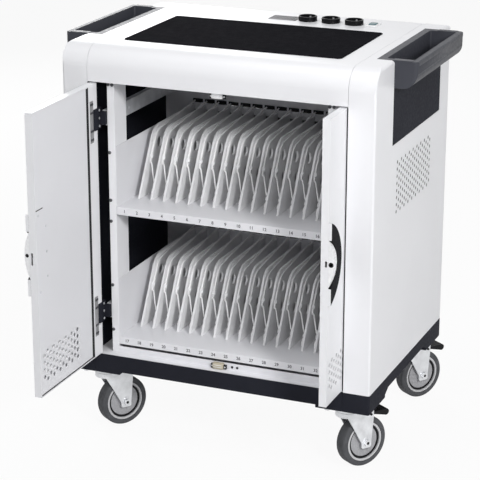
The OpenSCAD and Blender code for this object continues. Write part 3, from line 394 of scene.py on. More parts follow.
class Finish:
    """A node material built up step by step on Object coordinates."""

    def __init__(self, name):
        self.mat = bpy.data.materials.new(name)
        self.mat.use_nodes = True
        self.nodes = self.mat.node_tree.nodes
        self.links = self.mat.node_tree.links
        self.shader = self.nodes["Principled BSDF"]
        self.place = self.nodes.new("ShaderNodeTexCoord").outputs["Object"]

    def set(self, **values):
        for key, value in values.items():
            socket = self.shader.inputs[key.replace("_", " ").title().replace("Ior", "IOR")]
            socket.default_value = value

    def noise(self, scale, detail, stretch=None):
        node = self.nodes.new("ShaderNodeTexNoise")
        node.inputs["Scale"].default_value = scale
        node.inputs["Detail"].default_value = detail
        self.links.new(self.stretched(stretch), node.inputs["Vector"])
        return node.outputs["Fac"]

    def cells(self, scale, feature="F1"):
        node = self.nodes.new("ShaderNodeTexVoronoi")
        node.feature = feature
        node.inputs["Scale"].default_value = scale
        self.links.new(self.place, node.inputs["Vector"])
        return node.outputs["Distance"]

    def stretched(self, stretch):
        if stretch is None:
            return self.place
        node = self.nodes.new("ShaderNodeMapping")
        node.inputs["Scale"].default_value = stretch
        self.links.new(self.place, node.inputs["Vector"])
        return node.outputs["Vector"]

    def spread(self, source, low, high, from_low=0.3, from_high=0.7):
        node = self.nodes.new("ShaderNodeMapRange")
        node.inputs["From Min"].default_value = from_low
        node.inputs["From Max"].default_value = from_high
        node.inputs["To Min"].default_value = low
        node.inputs["To Max"].default_value = high
        self.links.new(source, node.inputs["Value"])
        return node.outputs["Result"]

    def colours(self, source, first, second, from_low=0.3, from_high=0.7):
        mix = self.nodes.new("ShaderNodeMix")
        mix.data_type = "RGBA"
        ends = [s for s in mix.inputs if s.type == "RGBA"]
        ends[0].default_value = (*first, 1)
        ends[1].default_value = (*second, 1)
        self.links.new(self.spread(source, 0, 1, from_low, from_high), mix.inputs["Factor"])
        blended = [s for s in mix.outputs if s.type == "RGBA"][0]
        self.links.new(blended, self.shader.inputs["Base Color"])

    def rough(self, source, low, high):
        self.links.new(self.spread(source, low, high), self.shader.inputs["Roughness"])

    def bump(self, source, strength, distance):
        node = self.nodes.new("ShaderNodeBump")
        node.inputs["Strength"].default_value = strength
        node.inputs["Distance"].default_value = distance
        self.links.new(source, node.inputs["Height"])
        self.links.new(node.outputs["Normal"], self.shader.inputs["Normal"])


def tint(colour, factor):
    return tuple(min(1.0, c * factor) for c in colour)


def powder_coat(name, colour, roughness, peel):
    """Powder coat: fine orange peel, faint cloudiness and a slightly uneven gloss."""
    f = Finish(name)
    f.set(specular_ior_level=0.4)
    f.colours(f.noise(5.0, 3), tint(colour, 0.985), tint(colour, 1.01))
    f.rough(f.noise(60.0, 2), roughness - 0.04, roughness + 0.05)
    f.bump(f.noise(620.0, 2), peel, 0.0002)
    return f.mat


def grained_plastic(name, colour, roughness, grain_scale, grain, sheen=0.4):
    """Moulded plastic with a fine leather-like grain."""
    f = Finish(name)
    f.set(specular_ior_level=sheen)
    f.colours(f.noise(9.0, 3), tint(colour, 0.93), tint(colour, 1.08))
    f.rough(f.noise(140.0, 2), roughness - 0.06, roughness + 0.07)
    f.bump(f.cells(grain_scale), grain, 0.0003)
    return f.mat


def zinc_plate(name, colour, metal):
    """Bright zinc plating: faint spangle and drawn streaks."""
    f = Finish(name)
    f.set(metallic=metal)
    f.colours(f.noise(45.0, 4), tint(colour, 0.85), tint(colour, 1.1))
    f.rough(f.noise(90.0, 3), 0.28, 0.46)
    f.bump(f.noise(500.0, 2, stretch=(1, 1, 0.15)), 0.06, 0.0002)
    return f.mat


def pebbled_rubber(name, colour):
    """Anti-slip mat: small raised pebbles."""
    f = Finish(name)
    f.set(specular_ior_level=0.004)
    f.colours(f.cells(420.0), tint(colour, 1.3), tint(colour, 0.7), 0.0, 0.6)
    f.rough(f.noise(70.0, 2), 0.8, 0.95)
    f.bump(f.cells(420.0, "SMOOTH_F1"), 0.5, 0.0006)
    return f.mat


def tread_rubber(name, colour):
    """Non-marking grey tyre: matt and lightly scuffed."""
    f = Finish(name)
    f.set(specular_ior_level=0.25)
    f.colours(f.noise(38.0, 5), tint(colour, 0.82), tint(colour, 1.12))
    f.rough(f.noise(120.0, 3), 0.6, 0.85)
    f.bump(f.noise(260.0, 4), 0.18, 0.0004)
    return f.mat


def speckled_nylon(name, colour):
    """Filled nylon of a wheel core: a matt grain with light and dark specks."""
    f = Finish(name)
    f.set(specular_ior_level=0.25)
    f.colours(f.noise(900.0, 2), tint(colour, 0.72), tint(colour, 1.3))
    f.rough(f.noise(140.0, 2), 0.45, 0.6)
    f.bump(f.noise(700.0, 2), 0.25, 0.0003)
    return f.mat


FINISH = {
    "body_paint": powder_coat("body_paint", (0.83, 0.83, 0.85), 0.36, 0.08),
    "inner_paint": powder_coat("inner_paint", (0.79, 0.79, 0.815), 0.45, 0.10),
    "dark_base": grained_plastic("dark_base", (0.020, 0.021, 0.028), 0.58, 700.0, 0.2, 0.03),
    "mat_rubber": pebbled_rubber("mat_rubber", (0.010, 0.010, 0.0125)),
    "black_plastic": grained_plastic("black_plastic", (0.008, 0.008, 0.009), 0.38, 900.0, 0.12, 0.15),
    "divider_plastic": grained_plastic("divider_plastic", (0.84, 0.84, 0.85), 0.45, 500.0, 0.08),
    "lead_jacket": grained_plastic("lead_jacket", (0.92, 0.92, 0.92), 0.30, 800.0, 0.05),
    "catch_plastic": grained_plastic("catch_plastic", (0.52, 0.47, 0.36), 0.40, 600.0, 0.10),
    "boss_plastic": grained_plastic("boss_plastic", (0.82, 0.82, 0.83), 0.28, 700.0, 0.05),
    "zinc_steel": zinc_plate("zinc_steel", (0.76, 0.77, 0.79), 0.7),
    "lock_metal": grained_plastic("lock_metal", (0.012, 0.012, 0.013), 0.30, 900.0, 0.05),
    "tyre_rubber": tread_rubber("tyre_rubber", (0.085, 0.087, 0.093)),
    "wheel_plastic": speckled_nylon("wheel_plastic", (0.40, 0.40, 0.415)),
}
PRINT_INK = grained_plastic("print_ink", (0.09, 0.09, 0.1), 0.6, 900.0, 0.05)
# Painted highlight: lighter copy of the wheel nylon for the rim bands
RIM_HIGHLIGHT_NYLON = grained_plastic("rim_highlight_nylon", (0.58, 0.58, 0.59), 0.40, 600.0, 0.10)
GLOSS_BLACK = grained_plastic("gloss_black", (0.006, 0.006, 0.007), 0.16, 900.0, 0.03, 0.1)
SHELF_GLOSS = powder_coat("shelf_gloss", (0.77, 0.77, 0.795), 0.19, 0.04)
GALVANISED = zinc_plate("galvanised", (0.60, 0.61, 0.63), 0.2)
DARK_STEEL = zinc_plate("dark_steel", (0.10, 0.10, 0.11), 0.7)
HINGE_ZINC = zinc_plate("hinge_zinc", (0.40, 0.40, 0.41), 0.6)
LOUVRE_GREY = grained_plastic("louvre_grey", (0.20, 0.20, 0.21), 0.45, 600.0, 0.10)
PILOT_GLASS = grained_plastic("pilot_lens", (0.09, 0.17, 0.19), 0.18, 500.0, 0.02)
CRESCENT_BLACK = grained_plastic("crescent_black", (0.012, 0.012, 0.014), 0.45, 700.0, 0.15, 0.012)
GRIP_PLASTIC = grained_plastic("grip_plastic", (0.042, 0.044, 0.054), 0.50, 700.0, 0.2, 0.25)
NODE_FINISH = {
    "top_sockets": GLOSS_BLACK, "upper_shelf": SHELF_GLOSS, "lower_shelf": SHELF_GLOSS,
    "partition": SHELF_GLOSS, "left_rails": GALVANISED, "right_rails": GALVANISED,
    "left_crescent": CRESCENT_BLACK, "right_crescent": CRESCENT_BLACK, "left_grip": GRIP_PLASTIC,
    "right_grip": GRIP_PLASTIC,
}

for part in frame["record"]["subparts"]:
    mesh = NODES[part["node"]].data
    mesh.materials.clear()
    mesh.materials.append(NODE_FINISH.get(part["node"], FINISH[part["material_slot"]]))

SLOT_OF = {part["node"]: part["material_slot"] for part in frame["record"]["subparts"]}
BODY_OF = {node: body for body, nodes in frame["record"]["behaviour"]["bodies"].items() for node in nodes}


# Meshes

def at(x, y, z):
    return Vector((x, y, z)) * MM


def add_piece(name, mesh, body, slot, finish=None, stands_for=()):
    """Puts a finished mesh on a body."""
    piece = bpy.data.objects.new(name, mesh)
    bpy.context.collection.objects.link(piece)
    if not mesh.materials:
        mesh.materials.append(finish or FINISH[slot])
    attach(piece, body)
    if stands_for:
        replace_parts(piece, *stands_for)
    return piece


def smooth_by_angle(mesh, angle=SMOOTH_ANGLE):
    mesh.shade_smooth()
    mesh.set_sharp_from_angle(angle=angle)


def to_mesh(bm, name):
    """Plain mesh of what is in bm, with its faces turned outwards."""
    bmesh.ops.remove_doubles(bm, verts=bm.verts, dist=1e-7)
    bmesh.ops.recalc_face_normals(bm, faces=bm.faces)
    mesh = bpy.data.meshes.new(name)
    bm.to_mesh(mesh)
    bm.free()
    smooth_by_angle(mesh)
    return mesh


def finished(name, obj):
    """Plain mesh of an object with its modifiers, and the object removed."""
    mesh = bpy.data.meshes.new_from_object(obj.evaluated_get(bpy.context.evaluated_depsgraph_get()))
    bpy.data.objects.remove(obj)
    mesh.name = name
    return mesh


def soften(node, edge):
    """Replaces a node with a copy whose sharp edges are rounded by edge millimetres."""
    name = node + "_round"
    bm = bmesh.new()
    bm.from_mesh(NODES[node].data)
    bmesh.ops.remove_doubles(bm, verts=bm.verts, dist=2e-6)
    bmesh.ops.dissolve_limit(bm, angle_limit=math.radians(0.4), verts=bm.verts, edges=bm.edges)
    mesh = bpy.data.meshes.new(name)
    bm.to_mesh(mesh)
    bm.free()
    smooth_by_angle(mesh, ROUNDED_ANGLE)
    obj = bpy.data.objects.new(name, mesh)
    bpy.context.collection.objects.link(obj)
    bevel = obj.modifiers.new("edges", "BEVEL")
    bevel.width = edge * MM
    bevel.segments = 3 if edge > 1 else 2
    bevel.limit_method = "ANGLE"
    bevel.angle_limit = ROUNDED_ANGLE
    bevel.use_clamp_overlap = True
    bevel.harden_normals = True
    add_piece(name, finished(name, obj), BODY_OF[node], SLOT_OF[node], NODE_FINISH.get(node), (node,))


def add_block(bm, first, second, edge=0.0, segments=2):
    """Box between two opposite corners, with rounded edges."""
    low = Vector([min(pair) for pair in zip(first, second)]) * MM
    high = Vector([max(pair) for pair in zip(first, second)]) * MM
    made = bmesh.ops.create_cube(bm, size=1.0)
    verts = made["verts"]
    for v in verts:
        v.co = Vector(low[i] + (v.co[i] + 0.5) * (high[i] - low[i]) for i in range(3))
    if edge:
        edges = {e for v in verts for e in v.link_edges}
        bmesh.ops.bevel(bm, geom=list(edges), offset=edge * MM, segments=segments, profile=0.5,
                        affect="EDGES")


def add_blocks(name, boxes, body, slot, finish=None, edge=0.0, segments=2):
    """One piece of blocks, each between two opposite corners."""
    bm = bmesh.new()
    for first, second in boxes:
        add_block(bm, first, second, edge, segments)
    return add_piece(name, to_mesh(bm, name), body, slot, finish)


def add_turned(bm, profile, place, axis, steps):
    """Turns a profile of (radius, height) points round an axis through place."""
    turn = Vector(UP).rotation_difference(Vector(axis)).to_matrix()
    rings = []
    for radius, height in profile:
        if radius < 1e-6:
            rings.append([bm.verts.new(Vector(place) * MM + turn @ Vector((0, 0, height * MM)))])
            continue
        ring = []
        for s in range(steps):
            a = 2 * math.pi * s / steps
            spot = Vector((radius * math.cos(a), radius * math.sin(a), height)) * MM
            ring.append(bm.verts.new(Vector(place) * MM + turn @ spot))
        rings.append(ring)
    for first, second in zip(rings, rings[1:]):
        for s in range(steps):
            t = (s + 1) % steps
            corners = [first[s % len(first)], first[t % len(first)], second[t % len(second)],
                       second[s % len(second)]]
            unique = list(dict.fromkeys(corners))
            if len(unique) > 2:
                bm.faces.new(unique)


def add_turning(name, profile, place, axis, steps, body, slot):
    """One turned piece."""
    bm = bmesh.new()
    add_turned(bm, profile, place, axis, steps)
    add_piece(name, to_mesh(bm, name), body, slot)


# Geometry Nodes

class Tree:
    """A Geometry Nodes tree with named inputs, built node by node."""

    def __init__(self, name, **sizes):
        self.group = bpy.data.node_groups.new(name, "GeometryNodeTree")
        face = self.group.interface
        face.new_socket("Geometry", in_out="INPUT", socket_type="NodeSocketGeometry")
        self.ids = {}
        for label, value in sizes.items():
            kind = "NodeSocketInt" if isinstance(value, int) else "NodeSocketFloat"
            socket = face.new_socket(label.replace("_", " ").title(), in_out="INPUT", socket_type=kind)
            socket.default_value = value
            self.ids[label] = socket.identifier
        socket = face.new_socket("Finish", in_out="INPUT", socket_type="NodeSocketMaterial")
        self.ids["finish"] = socket.identifier
        face.new_socket("Geometry", in_out="OUTPUT", socket_type="NodeSocketGeometry")
        self.source = self.group.nodes.new("NodeGroupInput").outputs
        self.result = self.group.nodes.new("NodeGroupOutput").inputs[0]

    def size(self, label):
        return self.source[label.replace("_", " ").title()]

    def add(self, kind, inputs, **settings):
        node = self.group.nodes.new(kind)
        for key, value in settings.items():
            setattr(node, key, value)
        for key, value in inputs.items():
            if isinstance(value, bpy.types.NodeSocket):
                self.group.links.new(value, node.inputs[key])
            else:
                node.inputs[key].default_value = value
        return node.outputs[0]

    def math(self, operation, first, second):
        return self.add("ShaderNodeMath", {0: first, 1: second}, operation=operation)

    def vector(self, x, y, z):
        return self.add("ShaderNodeCombineXYZ", {0: x, 1: y, 2: z})

    def lifted(self, shape, height):
        return self.add("GeometryNodeTransform", {"Geometry": shape,
                                                  "Translation": self.vector(0.0, 0.0, height)})

    def on_points(self, shape):
        """Sets a shape on each start point, along the point's facing attribute."""
        facing = self.add("GeometryNodeInputNamedAttribute", {"Name": "facing"}, data_type="FLOAT_VECTOR")
        turned = self.add("FunctionNodeAlignRotationToVector", {"Vector": facing}, axis="Z")
        return self.add("GeometryNodeInstanceOnPoints", {"Points": self.source[0], "Instance": shape,
                                                         "Rotation": turned})

    def end(self, geometry):
        real = self.add("GeometryNodeRealizeInstances", {0: geometry})
        last = self.add("GeometryNodeSetMaterial", {0: real, 2: self.source["Finish"]})
        self.group.links.new(last, self.result)
        return self

    def grow(self, name, start, finish, **sizes):
        """Plain mesh of the tree's result on a start mesh, with its sizes in millimetres."""
        obj = bpy.data.objects.new(name + "_start", start)
        bpy.context.collection.objects.link(obj)
        grower = obj.modifiers.new("grow", "NODES")
        grower.node_group = self.group
        for label, value in sizes.items():
            grower[self.ids[label]] = value * MM
        grower[self.ids["finish"]] = finish
        mesh = finished(name, obj)
        smooth_by_angle(mesh)
        return mesh


def screw_tree():
    """Domed heads with a cross recess."""
    t = Tree("screw_heads", head_width=0.006, head_height=0.002)
    height = t.size("head_height")
    radius = t.math("MULTIPLY", t.size("head_width"), 0.5)
    head = t.add("GeometryNodeMeshCylinder", {"Vertices": 20, "Side Segments": 1, "Fill Segments": 3,
                                              "Radius": radius, "Depth": height})
    spot = t.add("GeometryNodeInputPosition", {})
    parts = t.group.nodes.new("ShaderNodeSeparateXYZ")
    t.group.links.new(spot, parts.inputs[0])
    across = t.math("ADD", t.math("POWER", parts.outputs[0], 2.0), t.math("POWER", parts.outputs[1], 2.0))
    share = t.math("DIVIDE", across, t.math("POWER", radius, 2.0))
    drop = t.math("MULTIPLY", t.math("MULTIPLY", share, height), -DOME_DROP)
    above = t.add("FunctionNodeCompare", {0: parts.outputs[2], 1: 0.0}, operation="GREATER_THAN")
    domed = t.add("GeometryNodeSetPosition", {"Geometry": head, "Selection": above,
                                              "Offset": t.vector(0.0, 0.0, drop)})
    long = t.math("MULTIPLY", radius, RECESS_LENGTH)
    slim = t.math("MULTIPLY", radius, RECESS_WIDTH)
    half = t.math("MULTIPLY", height, 0.5)
    for size in (t.vector(long, slim, height), t.vector(slim, long, height)):
        cutter = t.lifted(t.add("GeometryNodeMeshCube", {"Size": size}), half)
        domed = t.add("GeometryNodeMeshBoolean", {"Mesh 1": domed, "Mesh 2": cutter},
                      operation="DIFFERENCE")
    return t.end(t.on_points(t.lifted(domed, half)))


def tube_tree():
    """Round tubes along smooth curves through the points of edge chains."""
    t = Tree("lead_tubes", radius=0.002, sides=12, steps=6)
    chain = t.add("GeometryNodeMeshToCurve", {0: t.source[0]})
    smooth = t.add("GeometryNodeCurveSplineType", {0: chain}, spline_type="CATMULL_ROM")
    fine = t.add("GeometryNodeSetSplineResolution", {"Geometry": smooth, "Resolution": t.size("steps")})
    section = t.add("GeometryNodeCurvePrimitiveCircle", {"Resolution": t.size("sides"),
                                                         "Radius": t.size("radius")})
    tube = t.add("GeometryNodeCurveToMesh", {"Curve": fine, "Profile Curve": section, "Fill Caps": True})
    return t.end(tube)


def bolt_tree():
    """Hexagon heads on washers, each given by its sides and its shares of the bolt's sizes."""
    t = Tree("hex_bolts", across=0.013, head_height=0.005)
    across, height = t.size("across"), t.size("head_height")
    joined = t.group.nodes.new("GeometryNodeJoinGeometry")
    for sides, wide, low, thick in (BOLT_WASHER, BOLT_HEAD):
        radius = t.math("MULTIPLY", across, wide)
        depth = t.math("MULTIPLY", height, thick)
        disc = t.add("GeometryNodeMeshCylinder", {"Vertices": sides, "Radius": radius, "Depth": depth})
        middle = t.math("MULTIPLY", height, low + thick / 2)
        t.group.links.new(t.lifted(disc, middle), joined.inputs[0])
    return t.end(t.on_points(joined.outputs[0]))


def bar_tree():
    """Straight bars with their middles on the points."""
    t = Tree("bars", length=0.04, width=0.003, height=0.002)
    size = t.vector(t.size("length"), t.size("width"), t.size("height"))
    return t.end(t.on_points(t.add("GeometryNodeMeshCube", {"Size": size})))


def dimple_tree():
    """Low dark cones that rise from a black sheet into the vent holes, as painted shade in the holes."""
    t = Tree("shade_cone_tree", width=0.0096, rise=0.0017)
    foot = t.math("MULTIPLY", t.size("width"), 0.5)
    crown = t.math("MULTIPLY", foot, DIMPLE_TAPER)
    cone = t.add("GeometryNodeMeshCone", {"Vertices": 14, "Radius Top": crown, "Radius Bottom": foot,
                                          "Depth": t.size("rise")})
    return t.end(t.on_points(cone))


SCREWS = screw_tree()
BOLTS = bolt_tree()
DIMPLES = dimple_tree()
BARS = bar_tree()
TUBES = tube_tree()


def point_mesh(name, spots):
    """Loose points with a facing attribute, from (place, facing) pairs in millimetres."""
    mesh = bpy.data.meshes.new(name)
    mesh.from_pydata([tuple(Vector(place) * MM) for place, _ in spots], [], [])
    facing = mesh.attributes.new("facing", "FLOAT_VECTOR", "POINT")
    for i, (_, way) in enumerate(spots):
        facing.data[i].vector = way
    return mesh


def chain_mesh(name, routes):
    """Edge chains through the points of each route, in millimetres."""
    points, edges = [], []
    for route in routes:
        first = len(points)
        points += [tuple(Vector(p) * MM) for p in route]
        edges += [(first + i, first + i + 1) for i in range(len(route) - 1)]
    mesh = bpy.data.meshes.new(name)
    mesh.from_pydata(points, edges, [])
    return mesh


def add_screws(name, spots, body, head, slot="zinc_steel", finish=None):
    """Screws with heads of one (width, height)."""
    width, height = head
    mesh = SCREWS.grow(name, point_mesh(name + "_spots", spots), finish or FINISH[slot],
                       head_width=width, head_height=height)
    add_piece(name, mesh, body, slot)


def add_bars(name, spots, size, body, slot, finish=None, place=None):
    """Bars of one (length, width, height), carried to place where there is one."""
    length, width, height = size
    mesh = BARS.grow(name, point_mesh(name + "_spots", spots), finish or FINISH[slot],
                     length=length, width=width, height=height)
    if place is not None:
        mesh.transform(place)
    add_piece(name, mesh, body, slot)


# Rounded copies of the nodes

for node, edge in ROUNDED.items():
    soften(node, edge)
for corner in CASTERS:
    soften("fork_" + corner, FORK_EDGE)
    soften("wheel_" + corner, WHEEL_EDGE)


# Charging leads

def divider_x(i):
    return FIRST_DIVIDER_X + i * SLOT_PITCH


def slope_y(z):
    """Y of a lead at a height on the front slope of its divider."""
    return LEAD_EDGE[0] - (LEAD_EDGE[1] - z) / math.tan(LEAD_SLOPE)


def slot_reach(i):
    """From the middle of a divider to the next divider, or to the shelf's end plate."""
    return SLOT_PITCH - DIVIDER_T / 2 if i < SLOTS - 1 else LAST_SLOT_REACH


def lead_route(i, shelf_z):
    """Points of a lead from the cable slot, over its divider and across to its plug."""
    here, beyond = LEAD_OFF, slot_reach(i) - LEAD_R - LEAD_GAP
    bend_y, bend_z = LEAD_BEND_AT
    points = [(here, *LEAD_START), (here, *LEAD_MIDWAY)]
    for step in range(LEAD_BEND_STEPS + 1):
        a = math.pi / 2 + LEAD_SLOPE * step / LEAD_BEND_STEPS
        points.append((here, bend_y + LEAD_BEND_R * math.cos(a), bend_z + LEAD_BEND_R * math.sin(a)))
    side_step = LEAD_TURN_SHARE * (beyond - here)
    leave, land = LEAD_LEAVE_Z, LEAD_LAND_Z
    points += [
        (here, slope_y(leave + LEAD_TURN), leave + LEAD_TURN),
        (here + side_step, slope_y(leave), leave - LEAD_TURN / 2),
        (beyond - side_step, slope_y(land), land + LEAD_TURN / 2),
        (beyond, slope_y(land - LEAD_TURN), land - LEAD_TURN),
        (beyond, slope_y(PLUG_TOP_Z), PLUG_TOP_Z),
    ]
    return [(divider_x(i) + dx, FRONT + y, shelf_z + z) for dx, y, z in points]


def add_plug(bm, i, shelf_z):
    """Moulded plug with a ribbed neck and a slim tip, by the next divider."""
    x = divider_x(i) + slot_reach(i) - PLUG_OFF
    lean = Matrix.Rotation(LEAD_SLOPE - math.pi / 2, 4, "X")
    place = Matrix.Translation(at(x, FRONT + slope_y(PLUG_TOP_Z), shelf_z + PLUG_TOP_Z)) @ lean
    part = bmesh.new()
    add_block(part, *PLUG_BODY, edge=1.4, segments=3)
    add_block(part, *PLUG_TIP, edge=0.5)
    low, high = NECK_RIB_Z
    for k in range(NECK_RIBS):
        rise = NECK_RIB_PITCH * k
        add_block(part, (-NECK_RIB_HALF, -NECK_RIB_HALF, low + rise),
                  (NECK_RIB_HALF, NECK_RIB_HALF, high + rise), edge=0.4)
    part.transform(place)
    loose = bpy.data.meshes.new("plug")
    part.to_mesh(loose)
    part.free()
    bm.from_mesh(loose)
    bpy.data.meshes.remove(loose)


plugs = bmesh.new()
for shelf, shelf_z in SHELF_Z.items():
    name = shelf + "_lead_tubes"
    routes = [lead_route(i, shelf_z) for i in range(SLOTS)]
    tubes = TUBES.grow(name, chain_mesh(shelf + "_routes", routes), FINISH["lead_jacket"], radius=LEAD_R)
    add_piece(name, tubes, "cabinet", "lead_jacket", stands_for=(shelf + "_leads",))
    for i in range(SLOTS):
        add_plug(plugs, i, shelf_z)
add_piece("lead_plug_mouldings", to_mesh(plugs, "lead_plug_mouldings"), "cabinet", "lead_jacket",
          stands_for=("lead_plugs",))


# Painted shade: black patches over the cable slots, standing for the dark inside the openings

slot_shade_spots = [((divider_x(i) + SLOT_SHADE_OFF, BACK_Y, z + LEAD_START[1]), TO_FRONT)
                for z in SHELF_Z.values() for i in range(SLOTS)]
add_bars("slot_shade_bars", slot_shade_spots, SLOT_SHADE_SIZE, "cabinet", "black_plastic")


# Slot numbers on the shelf lips

def number_mesh(text):
    curve = bpy.data.curves.new("mark", "FONT")
    curve.body = text
    curve.size = NUMBER_HEIGHT * MM
    curve.extrude = NUMBER_DEPTH * MM / 2
    curve.offset = NUMBER_WEIGHT * NUMBER_HEIGHT * MM
    curve.align_x = "CENTER"
    curve.align_y = "CENTER"
    obj = bpy.data.objects.new("mark", curve)
    bpy.context.collection.objects.link(obj)
    return finished("mark", obj)


def add_slot_numbers(shelf, first):
    bm = bmesh.new()
    stand = Matrix.Rotation(math.pi / 2, 4, "X")
    for i in range(SLOTS):
        mark = number_mesh(str(first + i))
        place = at(divider_x(i), FRAME_Y - NUMBER_DEPTH / 2, SHELF_Z[shelf] - NUMBER_DROP)
        mark.transform(Matrix.Translation(place) @ stand)
        bm.from_mesh(mark)
        bpy.data.meshes.remove(mark)
    mesh = bpy.data.meshes.new(shelf + "_slot_numbers")
    bm.to_mesh(mesh)
    bm.free()
    add_piece(shelf + "_slot_numbers", mesh, "cabinet", "black_plastic", PRINT_INK)


add_slot_numbers("upper", 1)
add_slot_numbers("lower", SLOTS + 1)


# Screws and hinge plates

def leaf_spot(side, u, v, z):
    """Place on an open leaf: u from the pivot along the leaf, v through it towards its inner face."""
    return (side * (PIVOT_X - v), PIVOT_Y[side] - u, z)


for side, name in SIDE_NAME.items():
    inward = (-side, 0, 0)
    spots = [(leaf_spot(side, u, LINER_FACE_V, z), inward)
             for u, heights in LINER_SCREWS.items() for z in heights]
    add_screws(name + "_liner_screws", spots, DOOR_BODY[side], SMALL_HEAD)
    plates, spots = [], []
    for z in RUNNER_Z:
        plates.append((leaf_spot(side, PLATE_U[0], LEAF_HALF, z - PLATE_HALF_H),
                       leaf_spot(side, PLATE_U[1], PLATE_V, z + PLATE_HALF_H)))
        spots += [(leaf_spot(side, u, PLATE_V, z + dz), inward)
                  for dz in PLATE_SCREW_DZ for u in PLATE_SCREW_U]
    add_blocks(name + "_hinge_plates", plates, DOOR_BODY[side], "zinc_steel", HINGE_ZINC, edge=0.5)
    add_screws(name + "_hinge_screws", spots, DOOR_BODY[side], HINGE_HEAD, finish=DARK_STEEL)

spots = [((side * POST_SCREW_X, FRAME_Y, z), TO_FRONT) for side in SIDE_NAME for z in POST_SCREW_Z]
spots += [((side * x, FRAME_Y, POST_TOP_Z), TO_FRONT) for side in SIDE_NAME for x in POST_TOP_X]
add_screws("post_screws", spots, "cabinet", POST_HEAD, finish=DARK_STEEL)
spots = [((side * RAIL_FACE_X, y, RUNNER_Z[0]), (-side, 0, 0)) for side in SIDE_NAME for y in RAIL_SCREW_Y]
add_screws("rail_screws", spots, "cabinet", RAIL_HEAD)
spots = [((x, REAR, z), TO_REAR) for x in PANEL_EDGE_X for z in PANEL_EDGE_Z]
spots += [((x, REAR, z), TO_REAR) for x in PANEL_MIDDLE_X for z in PANEL_MIDDLE_Z]
spots += [((INLET_AT[0] + dx, REAR + INLET_FLANGE, INLET_AT[1]), TO_REAR) for dx in INLET_SCREW_DX]
add_screws("rear_screws", spots, "cabinet", PANEL_HEAD)


# Door furniture

def leaf_box(side, first, second):
    """Opposite corners of a box on an open leaf."""
    return leaf_spot(side, *first), leaf_spot(side, *second)


for side, name in SIDE_NAME.items():
    door = DOOR_BODY[side]
    # Painted shadow: thin black line across the liner
    add_blocks(name + "_liner_shadow_line", [leaf_box(side, *LINER_SHADOW_LINE)], door, "black_plastic")
    # Painted shade: black strips in the gaps round the liner
    gap_shade_boxes = [leaf_box(side, *box) for box in (GAP_SHADE_STEM, GAP_SHADE_LIP, GAP_SHADE_FOOT)]
    add_blocks(name + "_liner_gap_shades", gap_shade_boxes, door, "black_plastic")
    rims = [[leaf_spot(side, u, v, LATCH_Z + dz) for u, v, dz in zip(CRESCENT_RIM_U, CRESCENT_RIM_V, ends)]
            for ends in CRESCENT_RIM_DZ]
    add_blocks(name + "_crescent_rim", rims, door, "body_paint")
    # Painted shade: black strip in the gap beside the parked leaf
    shade_strip_box = [(side * x, y, z) for x, y, z in zip(SHADE_STRIP_X, SHADE_STRIP_Y, SHADE_STRIP_Z)]
    add_blocks(name + "_pocket_shade_strip", [shade_strip_box], "cabinet", "black_plastic", CRESCENT_BLACK)

add_turning("keeper_bush", KEEPER_BUSH, leaf_spot(1, LEAF_W - KEEPER_INSET, BOSS_V, LATCH_Z), TO_FRONT,
            BUSH_STEPS, "right_door", "black_plastic")
add_turning("bolt_end", BOLT_TIP, leaf_spot(-1, LEAF_W, BOSS_V, LATCH_Z), TO_FRONT, BUSH_STEPS,
            "left_door", "black_plastic")
key_x, key_y, key_z = leaf_spot(-1, LATCH_U, KEY_FACE_V, LATCH_Z)
add_turning("lock_bezel", KEY_BEZEL, (key_x, key_y, key_z), (-1, 0, 0), BEZEL_STEPS, "door_lock",
            "zinc_steel")
keyway = ((key_x + KEYWAY_X[0], key_y - KEYWAY_HALF_W, key_z - KEYWAY_HALF_H),
          (key_x + KEYWAY_X[1], key_y + KEYWAY_HALF_W, key_z + KEYWAY_HALF_H))
add_blocks("lock_keyway", [keyway], "door_lock", "lock_metal", GLOSS_BLACK)


# Magnetic catches

def add_catch(name, bottom, finish):
    """Magnet case with two steel poles, held by a dark lug at each end."""
    low, high = CASE_Z
    case = ((-CASE_HALF_W, CATCH_FRONT + CASE_SET_BACK, bottom + low),
            (CASE_HALF_W, CATCH_REAR, bottom + high))
    add_blocks(name + "_case", [case], "cabinet", "catch_plastic", finish, edge=1.2, segments=3)
    poles = [((-POLE_HALF_W, CATCH_FRONT, bottom + z),
              (POLE_HALF_W, CATCH_FRONT + POLE_DEPTH, bottom + z + POLE_T)) for z in POLE_Z]
    add_blocks(name + "_poles", poles, "cabinet", "zinc_steel", edge=0.3)
    spots = [((x, CATCH_REAR - LUG_DEPTH, bottom + LUG_SCREW_Z), TO_FRONT) for x in LUG_SCREW_X]
    add_screws(name + "_screws", spots, "cabinet", LUG_HEAD)
    lugs = [((side * LUG_X[0], CATCH_REAR - LUG_DEPTH, bottom),
             (side * LUG_X[1], CATCH_REAR, bottom + LUG_H)) for side in SIDE_NAME]
    return add_blocks(name + "_lugs", lugs, "cabinet", "black_plastic", edge=1.0)


add_catch("sill_catch", CATCH_BOTTOM["sill"], None)
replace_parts(add_catch("top_catch", CATCH_BOTTOM["top"], FINISH["boss_plastic"]), "door_catches")
spots = [((x, FRAME_Y, SILL_SCREW_Z), TO_FRONT) for x in SILL_SCREW_X]
add_screws("sill_screws", spots, "cabinet", SMALL_HEAD, "black_plastic")


# Socket contacts, louvre and pilot lamp on top

spots = [((x, SOCKETS_Y + way * CONTACT_OFF, CONTACT_Z), (0, way, 0)) for x in SOCKETS_X for way in (-1, 1)]
add_bars("socket_contacts", spots, CONTACT_SIZE, "cabinet", "zinc_steel")


def top_box(xs, ys, zs):
    """Opposite corners of a box on the top cover."""
    return [(x, y, BODY_TOP + z) for x, y, z in zip(xs, ys, zs)]


def add_lamp_block(name, half, zs, slot, finish, edge, segments):
    """Block round the middle of the pilot lamp."""
    xs, ys = [(middle - reach, middle + reach) for middle, reach in zip(PILOT_AT, half)]
    add_blocks(name, [top_box(xs, ys, zs)], "cabinet", slot, finish, edge, segments)


